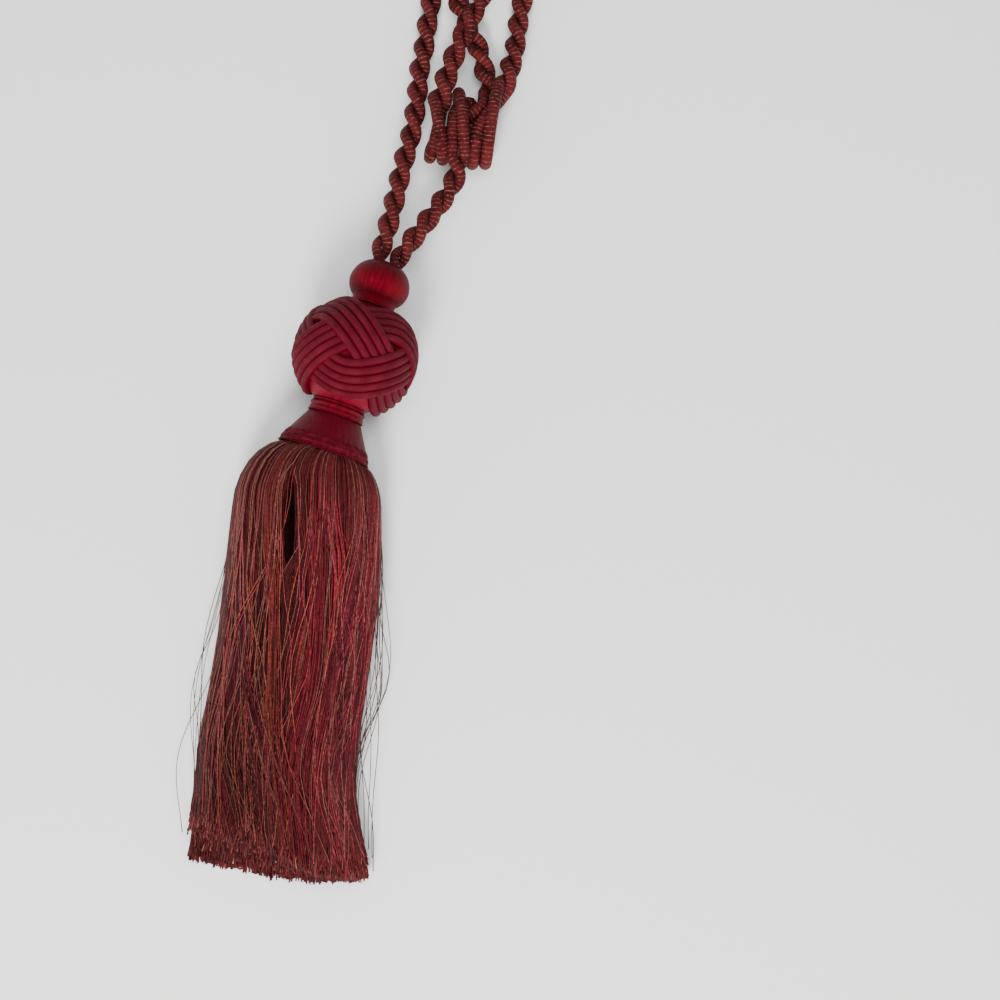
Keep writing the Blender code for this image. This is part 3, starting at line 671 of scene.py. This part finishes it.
# The deeper red painted on the cords' flanks: painted shade in the grooves between them.
CORD_PAINTED_GROOVE_SHADE = (0.080, 0.0010, 0.0048)


def band_direction(phase, centre_phase, centre_azimuth):
    """Directions from the ball's centre along a band's middle."""
    azimuth = centre_azimuth + (phase - centre_phase) * LEADS / BIGHTS
    latitude = BRAID_LATITUDE * np.cos(phase)
    level = np.cos(latitude)
    return np.stack((level * np.cos(azimuth), level * np.sin(azimuth), np.sin(latitude)), axis=-1)


def build_braid():
    """The ball's braid: each band is a few round cords side by side."""
    looks = ribbed_cord("braid_cord")
    paths = []
    for row, centre_phase in enumerate((OVER_CROSSING, OVER_CROSSING + math.pi)):
        for bight in range(BIGHTS):
            turn = BRAID_TURN + 2.0 * math.pi * (bight + 0.5 * row) / BIGHTS
            phase = np.linspace(centre_phase - BAND_BEFORE, centre_phase + BAND_AFTER, CORD_RINGS)
            middle = band_direction(phase, centre_phase, turn)
            ahead = band_direction(phase + PHASE_AHEAD, centre_phase, turn)
            aside = unit(np.cross(middle, ahead))
            crest = BRAID_CREST + BRAID_WEAVE * np.sin(2.0 * phase)
            reach = BALL_RADIUS + BRAID_SEAT + crest - CORD_RADIUS
            for cord in range(CORDS_PER_BAND):
                swing = (cord - 0.5 * (CORDS_PER_BAND - 1)) * CORD_PITCH / (BALL_RADIUS + BRAID_SEAT)
                outward = middle * math.cos(swing) + aside * math.sin(swing)
                paths.append(outward * reach[:, None])
    paths = to_world(axis_frame(CAP_RISE), np.array(paths))
    radii = np.full(paths.shape[:2], CORD_RADIUS)
    # How far each point of a cord faces away from the ball: where the painted groove shade goes.
    outward = unit(paths - np.array(BALL_CENTRE))[:, :, None]
    round_cord = tube_points(paths, radii, CORD_SIDES) - paths[:, :, None]
    groove_shade = 1.0 - np.clip(np.sum(round_cord * outward, axis=-1) / CORD_RADIUS, 0.0, 1.0)
    add_tubes(
        "braid_cords", paths, radii, CORD_SIDES, looks, "ball_braid",
        {"along": per_point(walked_along(paths), CORD_SIDES), "groove_shade": groove_shade.reshape(-1)},
    )


# ------------------------------ skirt

SKIRT_SEED = 11
SKIRT_ROOT_Y = 0.0360
SKIRT_END_UNDER_Y = -0.1400
SKIRT_END_OVER_Y = -0.1225
OVER_LONGER = 0.0115                # the top threads reach this much farther on the right
SKIRT_SECTIONS = (                  # share of the length, middle x, half width, height
    (0.00, 0.0020, 0.0334, 0.0460),
    (0.25, -0.0003, 0.0352, 0.0390),
    (0.50, -0.0050, 0.0347, 0.0325),
    (0.75, -0.0110, 0.0350, 0.0265),
    (1.00, -0.0100, 0.0400, 0.0205),
)
CUT_SLANT = ((-1.0, 0.0105), (-0.6, 0.0070), (-0.1, 0.0023), (0.45, 0.0), (1.0, 0.0020))
EDGE_START, EDGE_SHARE = 0.75, 0.35 # where the sides lift off the floor, and how far up they are
COLLAR_RIM = -0.0466
ROOT_RADIUS, ROOT_DEPTH = 0.0190, 0.0025    # of the outermost threads inside the collar's rim
SHOULDER_SHARE = 0.045              # of the skirt's length, where the shoulder ends
SHOULDER_OUT, SHOULDER_DOWN = 0.56, 0.55
SHOULDER_BENDS, CORE_BENDS = 6, 3   # rings on the shoulder
COLOUR_RING, CORE_COLOUR_RING = 6, 3        # the ring whose place across chooses a thread's colour
LEVEL_RING, LEVEL_MOST = 3, 1.06    # the ring that the parting looks at, the most a level may be
DRIFT_KNOTS, DRIFT_RAMP = 5, 0.22
THREAD_SIDES = 3

# Spreads and drifts are shares of the half width, depths of the height, ends in metres.
LOCKS, LOCK_THREADS = 76, 1800
LOCK_REACH, LOCK_DRIFT, LOCK_LEAN = 0.97, 0.085, (0.04, 0.30)
SWEPT_LEFT_OF, SWEPT_SHARE, SWEPT_REACH, SWEPT_RUN = -0.30, 0.45, (0.15, 0.60), (0.45, 1.05)
LOCK_DEEP, LOCK_WAVE, LOCK_GIRTH, LOCK_ENDS = (0.0, 0.15), 0.04, (0.022, 0.070), 0.0020
LOCK_LIGHT, LOCK_ALIKE = (0.6, 1.4), 0.72   # a lock's own lightness, its threads in its own colour
THREAD_DRIFT, THREAD_LEAN, THREAD_DEEP, THREAD_ENDS = 0.018, 0.055, 0.014, 0.0006
LOCK_THICK = (0.00021, 0.00033)

LOOSE_THREADS = 800                 # the bed
WILD_THREADS, SWEEP_THREADS, BRIDGE_THREADS = 90, 13, 4     # of the wild, some sweep and some bridge
WILD_LEAN, LOOSE_LEAN, WILD_DRIFT, LOOSE_DRIFT = 0.22, 0.05, 0.10, 0.035
SWEEP_START, SWEEP_REACH, SWEEP_RUN = (-0.95, -0.15), (0.25, 0.90), (0.42, 1.05)
BRIDGE_START, BRIDGE_REACH, BRIDGE_RUN = (-0.09, 0.09), (-0.5, 0.5), (0.04, 0.45)
WILD_DEEP, LOOSE_DEEP, LOOSE_SPREAD, WILD_RUN = (-0.02, 0.02), 0.10, 0.05, (0.05, 0.45)
WILD_ENDS, LOOSE_ENDS, WILD_PARTED = 0.0040, 0.0018, 0.96
LOOSE_THICK = (0.00018, 0.00029)

UNDER_THREADS, CORE_THREADS = 900, 1500     # along the floor, inside
CORE_REACH, CORE_DRIFT, CORE_DEEP, UNDER_DEEP = 0.96, 0.03, (0.08, 0.92), 0.12
# Painted shade inside the skirt: the inner and lower threads keep this share of their yarn's lightness.
CORE_SHADE_LIGHT, TUFT_SHARE = 0.7, 0.75
CORE_THICK = (0.00028, 0.00042)
TUFTS_ACROSS, TUFTS_DEEP = 34, 7    # the cut end bunches in this many small tufts
TUFT_SWING = (0.0009, 0.0008, 0.0005)

STRAYS, STRAYS_LEFT = 20, 0.35
STRAY_EDGE, STRAY_LEVEL, STRAY_ENDS = 0.985, 0.75, 0.0060
STRAY_MIDDLE, STRAY_SPREAD, STRAY_SWELL = (0.35, 0.85), (0.13, 0.24), (0.0015, 0.0110)
STRAY_COLOUR = np.array((0.065, 0.044, 0.042))
STRAY_THICK = (0.00016, 0.00025)

PARTING_X, PARTING_TOP, PARTING_END = -0.0047, 0.046, -0.006
PARTING_RAMP, PARTING_WIDTH = 0.0140, 0.0038
YARNS = (                           # colour, how common on the left, how common on the right
    ((0.030, 0.0042, 0.0058), 0.32, 0.15),
    ((0.052, 0.0054, 0.0100), 0.32, 0.25),
    ((0.104, 0.0070, 0.0145), 0.14, 0.26),
    ((0.215, 0.0150, 0.0300), 0.03, 0.18),
    ((0.114, 0.0175, 0.0145), 0.10, 0.14),
    ((0.048, 0.0120, 0.0130), 0.09, 0.02),
)
TOP_YARNS = (                       # the lighter threads that lie over the rest
    ((0.168, 0.0570, 0.0390), 0.36, 0.18),
    ((0.192, 0.0630, 0.0560), 0.24, 0.24),
    ((0.240, 0.0560, 0.0300), 0.20, 0.30),
    ((0.230, 0.0280, 0.0400), 0.08, 0.20),
    ((0.095, 0.0420, 0.0350), 0.12, 0.08),
)
YARN_LIGHT = (0.8, 1.25)            # how much one thread's lightness differs from its yarn's
CUT_DARK, CUT_LIGHT = np.array((0.046, 0.0052, 0.0062)), np.array((0.210, 0.0400, 0.0360))
CUT_PALE, PALE_SHARE = np.array((0.380, 0.1700, 0.1000)), 0.022
# Tones that the shoulder's colours are evened toward: painted shade under the collar, and for some wild
# threads a painted sheen.
SHOULDER_SHADE_TONE, SHOULDER_SHEEN_TONE = np.array((0.090, 0.0105, 0.0120)), np.array((0.170, 0.0660, 0.0560))
SHOULDER_EVEN = ((0.0, 5.0, 11.0), (1.0, 0.9, 0.0))         # ring, how far its colour is evened out
# Painted shadow under the collar: how light each ring of the shoulder is left.
SHOULDER_SHADOW_LIGHT = (0.42, 0.46, 0.52, 0.60, 0.69, 0.78, 0.87, 0.95)
CALM = 0.75                         # how much of that a thread takes
SHEEN_EVERY = 3                      # of the wild threads, how many come to one with a painted sheen at the shoulder
LOW_DIM = 0.26                      # how much darker the skirt is near its end
LEFT_DIM = 0.5                      # and how much darker still on the left
RING_UNEVEN = 0.28                  # how much a thread's lightness changes along it


def smooth_step(value, low, high):
    """0 up to low, 1 from high, and an even S between."""
    t = np.clip((value - low) / (high - low), 0.0, 1.0)
    return t * t * (3.0 - 2.0 * t)


def section_at(shares):
    """Middle x, half width and height at shares of the skirt's length."""
    table = np.array(SKIRT_SECTIONS)
    return smooth_at(table[:, 1:], shares * (len(table) - 1)).T


def fold(across):
    """Turn back what would leave the skirt's sides."""
    across = np.where(across > 1.0, 2.0 - across, across)
    return np.where(across < -1.0, -2.0 - across, across)


def skirt_place(across, level, shares, ragged):
    """Places in the skirt: across it from -1 to 1, level 0 on the floor and 1 on top."""
    middle, half_width, height = section_at(shares)
    reach = np.sqrt(np.maximum(0.0, 1.0 - across * across))
    edge = np.maximum(0.0, (np.abs(across) - EDGE_START) / (1.0 - EDGE_START))
    low = height * EDGE_SHARE * edge * edge
    high = height * (EDGE_SHARE + (1.0 - EDGE_SHARE) * reach)
    slant = np.interp(across[:, -1], *zip(*CUT_SLANT))
    over = SKIRT_END_OVER_Y - OVER_LONGER * smooth_step(across[:, -1], -0.25, 0.55)
    end = SKIRT_END_UNDER_Y + (over - SKIRT_END_UNDER_Y) * level[:, -1] + slant + ragged
    x = middle + half_width * across
    y = SKIRT_ROOT_Y + (end[:, None] - SKIRT_ROOT_Y) * shares
    z = low + (high - low) * level
    return np.stack((x, y, z), axis=-1)


def on_arc(chance, count):
    """Places across the skirt, even along its rounded top."""
    return np.sin(chance.uniform(-0.5 * np.pi, 0.5 * np.pi, count))


def drift(chance, count, spread, shares):
    """Smooth random drift of each thread along its length, none at its root."""
    knots = chance.normal(0.0, spread, (count, DRIFT_KNOTS))
    weights = smooth_at(np.eye(DRIFT_KNOTS), shares * (DRIFT_KNOTS - 1))
    return knots @ weights.T * smooth_step(shares, 0.0, DRIFT_RAMP)


def thread_paths(across, level, shares, ragged, bends):
    """Whole paths: out of the collar, over the shoulder and down the skirt."""
    body = skirt_place(fold(across), np.clip(level, 0.0, LEVEL_MOST), shares, ragged)
    start, rise = fold(across[:, 0]), 2.0 * np.clip(level[:, 0], 0.0, 1.0) - 1.0
    rise = rise * np.sqrt(np.maximum(0.0, 1.0 - start * start))
    rim = np.stack((-start * ROOT_RADIUS, rise * ROOT_RADIUS, np.full(len(start), COLLAR_RIM)), axis=1)
    collar = axis_frame(COLLAR_RISE)
    inside = to_world(collar, rim * (0.93, 0.93, 1.0) + (0.0, 0.0, ROOT_DEPTH))
    rim = to_world(collar, rim)
    travel = body[:, 0] - rim
    out = rim + travel * (SHOULDER_OUT, 0.02, SHOULDER_OUT)
    down = body[:, 0] - travel * (0.0, SHOULDER_DOWN, 0.0)
    t = (np.arange(bends) / bends)[None, :, None]
    shoulder = (
        (1.0 - t) ** 3 * rim[:, None] + 3.0 * (1.0 - t) ** 2 * t * out[:, None]
        + 3.0 * (1.0 - t) * t * t * down[:, None] + t ** 3 * body[:, None, 0]
    )
    return np.concatenate((inside[:, None], shoulder, body), axis=1)


def part_threads(chance, paths, level):
    """Open the dark parting on top: threads keep to their side of it."""
    away, y = paths[:, :, 0] - PARTING_X, paths[:, :, 1]
    near = smooth_step(y, PARTING_END, PARTING_END + PARTING_RAMP)
    near = near * (1.0 - smooth_step(y, PARTING_TOP - PARTING_RAMP, PARTING_TOP))
    side = np.where(np.sum(away * near, axis=1) > 0.0, 1.0, -1.0)[:, None]
    width = PARTING_WIDTH * chance.uniform(0.7, 1.4, (len(paths), 1)) * near
    width = width * smooth_step(level, 0.0, 0.4)[:, None]
    held = np.maximum(away * side, 0.0)
    held = np.sqrt(held * held + width * width)
    kept = smooth_step(near, 0.0, 0.25)
    paths[:, :, 0] += (held * side - away) * kept
    return paths


def pick_yarns(chance, yarns, across):
    """A yarn's colour for each thread, by where it hangs."""
    colours = np.array([row[0] for row in yarns])
    left, right = (np.array([row[k] for row in yarns]) for k in (1, 2))
    share = (0.5 + 0.5 * np.clip(across, -1.0, 1.0))[:, None]
    weights = left * (1.0 - share) + right * share
    steps = np.cumsum(weights, axis=1) / weights.sum(axis=1, keepdims=True)
    pick = (chance.uniform(0.0, 1.0, (len(across), 1)) > steps).sum(axis=1)
    return colours[np.minimum(pick, len(yarns) - 1)] * chance.uniform(*YARN_LIGHT, (len(across), 1))


def along_thread(chance, tint, across, rings, calm, painted_shoulder_tone, glow):
    """Colour down each thread: at the shoulder evened toward its painted tone, painted shade for most and
    painted sheen for some, and dimmed there as painted shadow under the collar; dim low down, brick red
    where cut.
    """
    even = np.broadcast_to(calm, len(tint))[:, None] * np.interp(np.arange(rings), *SHOULDER_EVEN)
    down = np.linspace(0.0, 1.0, rings)
    # Painted shadow under the collar dims the shoulder's rings.
    light = np.ones(rings)
    light[:len(SHOULDER_SHADOW_LIGHT)] = SHOULDER_SHADOW_LIGHT
    light *= 1.0 - LOW_DIM * smooth_step(down, 0.45, 0.95)
    low = down[None] * (0.5 - 0.5 * np.clip(across, -1.0, 1.0))[:, None]
    uneven = chance.uniform(1.0 - RING_UNEVEN, 1.0 + RING_UNEVEN, (len(tint), rings))
    painted_shoulder_tone = np.broadcast_to(painted_shoulder_tone, tint.shape)[:, None]
    tint = tint[:, None] + (painted_shoulder_tone - tint[:, None]) * even[:, :, None]
    tint = tint * (light * uneven * (1.0 - LEFT_DIM * low))[:, :, None]
    frayed = np.zeros((len(tint), rings))
    frayed[:, -1] = chance.uniform(0.0, 1.0, len(tint)) ** 1.5
    frayed[:, -2] = 0.4 * frayed[:, -1]
    if glow is None:
        glow = chance.uniform(0.0, 1.0, len(tint))
    cut = CUT_DARK + (CUT_LIGHT - CUT_DARK) * glow[:, None] ** 2.5
    cut[chance.uniform(0.0, 1.0, len(tint)) < PALE_SHARE] = CUT_PALE
    return tint * (1.0 - frayed)[:, :, None] + cut[:, None] * frayed[:, :, None]


def add_threads(
    chance, name, paths, tint, across, thick, looks, node=None, glow=None, calm=CALM, painted_shoulder_tone=SHOULDER_SHADE_TONE,
):
    """One piece of three-sided threads along the paths, a little thicker where they are cut."""
    rings = paths.shape[1]
    radii = np.repeat(chance.uniform(*thick, len(paths))[:, None], rings, axis=1)
    radii[:, -1] *= 1.3
    paths[:, :, 2] = np.maximum(paths[:, :, 2], thick[1])
    colour = along_thread(chance, tint, across, rings, calm, painted_shoulder_tone, glow)
    colour = np.repeat(colour[:, :, None], THREAD_SIDES, axis=2).reshape(-1, 3)
    colour = np.concatenate((colour, np.ones((len(colour), 1))), axis=1)
    add_tubes(name, paths, radii, THREAD_SIDES, looks, node, {"tint": colour}, 0.0)


def fray(chance, paths, reach):
    """Flick the last two rings of each thread aside."""
    paths[:, -1] += chance.normal(0.0, reach, (len(paths), 3))
    paths[:, -2] += 0.4 * chance.normal(0.0, reach, (len(paths), 3))
    return paths


def in_tufts(chance, across, level):
    """Each thread's tuft at the cut end, how far each tuft swings and how light it is."""
    column = (across + 1.0) * 0.5 * TUFTS_ACROSS + chance.normal(0.0, 0.25, len(across))
    row = level * TUFTS_DEEP + chance.normal(0.0, 0.15, len(across))
    column = np.clip(np.floor(column), 0, TUFTS_ACROSS - 1).astype(int)
    row = np.clip(np.floor(row), 0, TUFTS_DEEP - 1).astype(int)
    tufts = TUFTS_ACROSS * TUFTS_DEEP
    swing = chance.normal(0.0, 1.0, (tufts, 3)) * TUFT_SWING
    return column * TUFTS_DEEP + row, swing, chance.uniform(0.0, 1.0, tufts)


def lock_threads(chance, shares, looks):
    """Threads gathered in locks that lean over each other on top of the skirt."""
    hub = on_arc(chance, LOCKS) * LOCK_REACH
    lean = hub[:, None] + drift(chance, LOCKS, LOCK_DRIFT, shares)
    lean += chance.normal(*LOCK_LEAN, (LOCKS, 1)) * shares
    swept = (hub < SWEPT_LEFT_OF) & (chance.uniform(0.0, 1.0, LOCKS) < SWEPT_SHARE)
    lean[swept] += chance.uniform(*SWEPT_REACH, (swept.sum(), 1)) * smooth_step(shares, *SWEPT_RUN)
    deep = chance.uniform(*LOCK_DEEP, (LOCKS, 1))
    deep = deep + LOCK_WAVE * np.sin(np.pi * shares) ** 2 * chance.uniform(-1.0, 1.0, (LOCKS, 1))
    girth = chance.uniform(*LOCK_GIRTH, LOCKS)
    ends = chance.normal(0.0, LOCK_ENDS, LOCKS)
    main = pick_yarns(chance, YARNS, lean[:, COLOUR_RING]) * chance.uniform(*LOCK_LIGHT, (LOCKS, 1))
    lock = chance.randint(0, LOCKS, LOCK_THREADS)
    offset = chance.normal(0.0, 1.0, (LOCK_THREADS, 1)) * girth[lock, None]
    pinch = 1.25 - 0.55 * np.sin(np.pi * shares ** 0.8)
    across = lean[lock] + offset * pinch + drift(chance, LOCK_THREADS, THREAD_DRIFT, shares)
    across += chance.normal(0.0, THREAD_LEAN, (LOCK_THREADS, 1)) * shares
    level = 1.0 - deep[lock] - np.abs(chance.normal(0.0, THREAD_DEEP, (LOCK_THREADS, 1)))
    ragged = ends[lock] + chance.normal(0.0, THREAD_ENDS, LOCK_THREADS)
    paths = fray(chance, thread_paths(across, level, shares, ragged, SHOULDER_BENDS), 0.0005)
    paths = part_threads(chance, paths, level[:, LEVEL_RING])
    tint = pick_yarns(chance, YARNS, across[:, COLOUR_RING])
    alike = chance.uniform(0.0, 1.0, (LOCK_THREADS, 1)) < LOCK_ALIKE
    tint = np.where(alike, main[lock] * chance.uniform(*YARN_LIGHT, (LOCK_THREADS, 1)), tint)
    half = LOCK_THREADS // 2
    pieces = (("skirt_locks_a", slice(0, half), "skirt"), ("skirt_locks_b", slice(half, None), None))
    for name, some, node in pieces:
        add_threads(
            chance, name, paths[some], tint[some], across[some, COLOUR_RING], LOCK_THICK, looks, node,
        )


def loose_threads(chance, shares, looks):
    """The bed between the locks, and the wild threads that cross over them."""
    count = LOOSE_THREADS + WILD_THREADS
    number = np.arange(count)
    wild = number >= LOOSE_THREADS
    bridge = number >= count - BRIDGE_THREADS
    sweep = wild & ~bridge & (number < LOOSE_THREADS + SWEEP_THREADS)
    start = on_arc(chance, count)
    start[sweep] = chance.uniform(*SWEEP_START, SWEEP_THREADS)
    middle, half_width = SKIRT_SECTIONS[0][1:3]
    start[bridge] = (PARTING_X - middle) / half_width + chance.uniform(*BRIDGE_START, BRIDGE_THREADS)
    lean = chance.normal(0.0, 1.0, (count, 1)) * np.where(wild, WILD_LEAN, LOOSE_LEAN)[:, None]
    across = start[:, None] + lean * shares + drift(chance, count, LOOSE_DRIFT, shares)
    across[wild] += drift(chance, WILD_THREADS, WILD_DRIFT, shares) * smooth_step(shares, *WILD_RUN)
    across[sweep] += chance.uniform(*SWEEP_REACH, (SWEEP_THREADS, 1)) * smooth_step(shares, *SWEEP_RUN)
    across[bridge] += chance.uniform(*BRIDGE_REACH, (BRIDGE_THREADS, 1)) * smooth_step(shares, *BRIDGE_RUN)
    over = chance.uniform(*WILD_DEEP, count)
    deep = np.where(wild, over, LOOSE_DEEP + np.abs(chance.normal(0.0, LOOSE_SPREAD, count)))
    level = 1.0 - deep[:, None] - 0.5 * drift(chance, count, 0.02, shares)
    ragged = chance.normal(0.0, 1.0, count) * np.where(wild, WILD_ENDS, LOOSE_ENDS)
    paths = fray(chance, thread_paths(across, level, shares, ragged, SHOULDER_BENDS), 0.0006)
    parted = ~wild | (~bridge & (chance.uniform(0.0, 1.0, count) < WILD_PARTED))
    paths[parted] = part_threads(chance, paths[parted], level[parted, LEVEL_RING])
    place = across[:, COLOUR_RING]
    lighter = pick_yarns(chance, TOP_YARNS, place)
    tint = np.where(wild[:, None], lighter, pick_yarns(chance, YARNS, place))
    # Painted sheen: every few wild threads take a pale tone at the shoulder for its glints; the rest take
    # the painted shade tone.
    sheened = wild & (number % SHEEN_EVERY == 0)
    painted_shoulder_tone = np.where(sheened[:, None], SHOULDER_SHEEN_TONE, SHOULDER_SHADE_TONE)
    add_threads(chance, "skirt_loose", paths, tint, place, LOOSE_THICK, looks, painted_shoulder_tone=painted_shoulder_tone)


def core_threads(chance, shares, looks):
    """Threads inside the skirt and along the floor, seen at its cut end."""
    count = UNDER_THREADS + CORE_THREADS
    under = np.arange(count) < UNDER_THREADS
    start = np.where(under, on_arc(chance, count), chance.uniform(-CORE_REACH, CORE_REACH, count))
    across = start[:, None] + drift(chance, count, CORE_DRIFT, shares)
    deep = np.where(under, UNDER_DEEP * chance.uniform(0.0, 1.0, count), chance.uniform(*CORE_DEEP, count))
    level = deep[:, None] + drift(chance, count, 0.01, shares)
    tuft, swing, glow = in_tufts(chance, start, deep)
    paths = thread_paths(across, level, shares, chance.normal(0.0, 0.0004, count), CORE_BENDS)
    paths = fray(chance, paths, 0.0003)
    paths[:, -1] += swing[tuft]
    paths[:, -2] += 0.4 * swing[tuft]
    paths[~under] = part_threads(chance, paths[~under], level[~under, LEVEL_RING])
    glow = TUFT_SHARE * glow[tuft] + (1.0 - TUFT_SHARE) * chance.uniform(0.0, 1.0, count)
    place = across[:, CORE_COLOUR_RING]
    # Painted shade: the inner and lower threads are darkened.
    tint = pick_yarns(chance, YARNS, place) * CORE_SHADE_LIGHT
    add_threads(chance, "skirt_core", paths, tint, place, CORE_THICK, looks, glow=glow)


def stray_threads(chance, looks):
    """Single threads that stand away from the skirt's sides and lie on the floor."""
    shares = np.append(np.linspace(SHOULDER_SHARE, 0.95, 22), 1.0)
    side = np.where(chance.uniform(0.0, 1.0, STRAYS) < STRAYS_LEFT, -1.0, 1.0)
    across = side[:, None] * np.full(len(shares), STRAY_EDGE) + 0.25 * drift(chance, STRAYS, 0.03, shares)
    level = np.full((STRAYS, len(shares)), STRAY_LEVEL) * (1.0 - 0.9 * smooth_step(shares, 0.0, 0.5))
    ragged = np.abs(chance.normal(0.0, STRAY_ENDS, STRAYS))
    paths = thread_paths(across, level, shares, ragged, SHOULDER_BENDS)
    middle = chance.uniform(*STRAY_MIDDLE, (STRAYS, 1))
    spread = chance.uniform(*STRAY_SPREAD, (STRAYS, 1))
    swell = np.exp(-((shares - middle) / spread) ** 2) * smooth_step(shares, 0.05, 0.3)
    body = paths[:, SHOULDER_BENDS + 1:, 0]
    body += side[:, None] * swell * chance.uniform(*STRAY_SWELL, (STRAYS, 1))
    body += 0.012 * drift(chance, STRAYS, 0.06, shares)
    tint = chance.uniform(0.5, 1.2, (STRAYS, 1)) * STRAY_COLOUR
    place = across[:, COLOUR_RING]
    add_threads(chance, "skirt_strays", paths, tint, place, STRAY_THICK, looks, calm=0.0)


def build_skirt():
    """The threads of the skirt, in a few pieces."""
    chance = np.random.RandomState(SKIRT_SEED)
    looks = skirt_yarn("skirt_thread")
    fine = np.append(np.linspace(SHOULDER_SHARE, 0.97, 14), 1.0)
    coarse = np.append(np.linspace(SHOULDER_SHARE, 0.965, 8), 1.0)
    lock_threads(chance, fine, looks)
    loose_threads(chance, fine, looks)
    core_threads(chance, coarse, looks)
    stray_threads(chance, looks)


build_camera()
build_studio()
build_rope()
build_head()
build_braid()
build_gimp()
build_skirt()
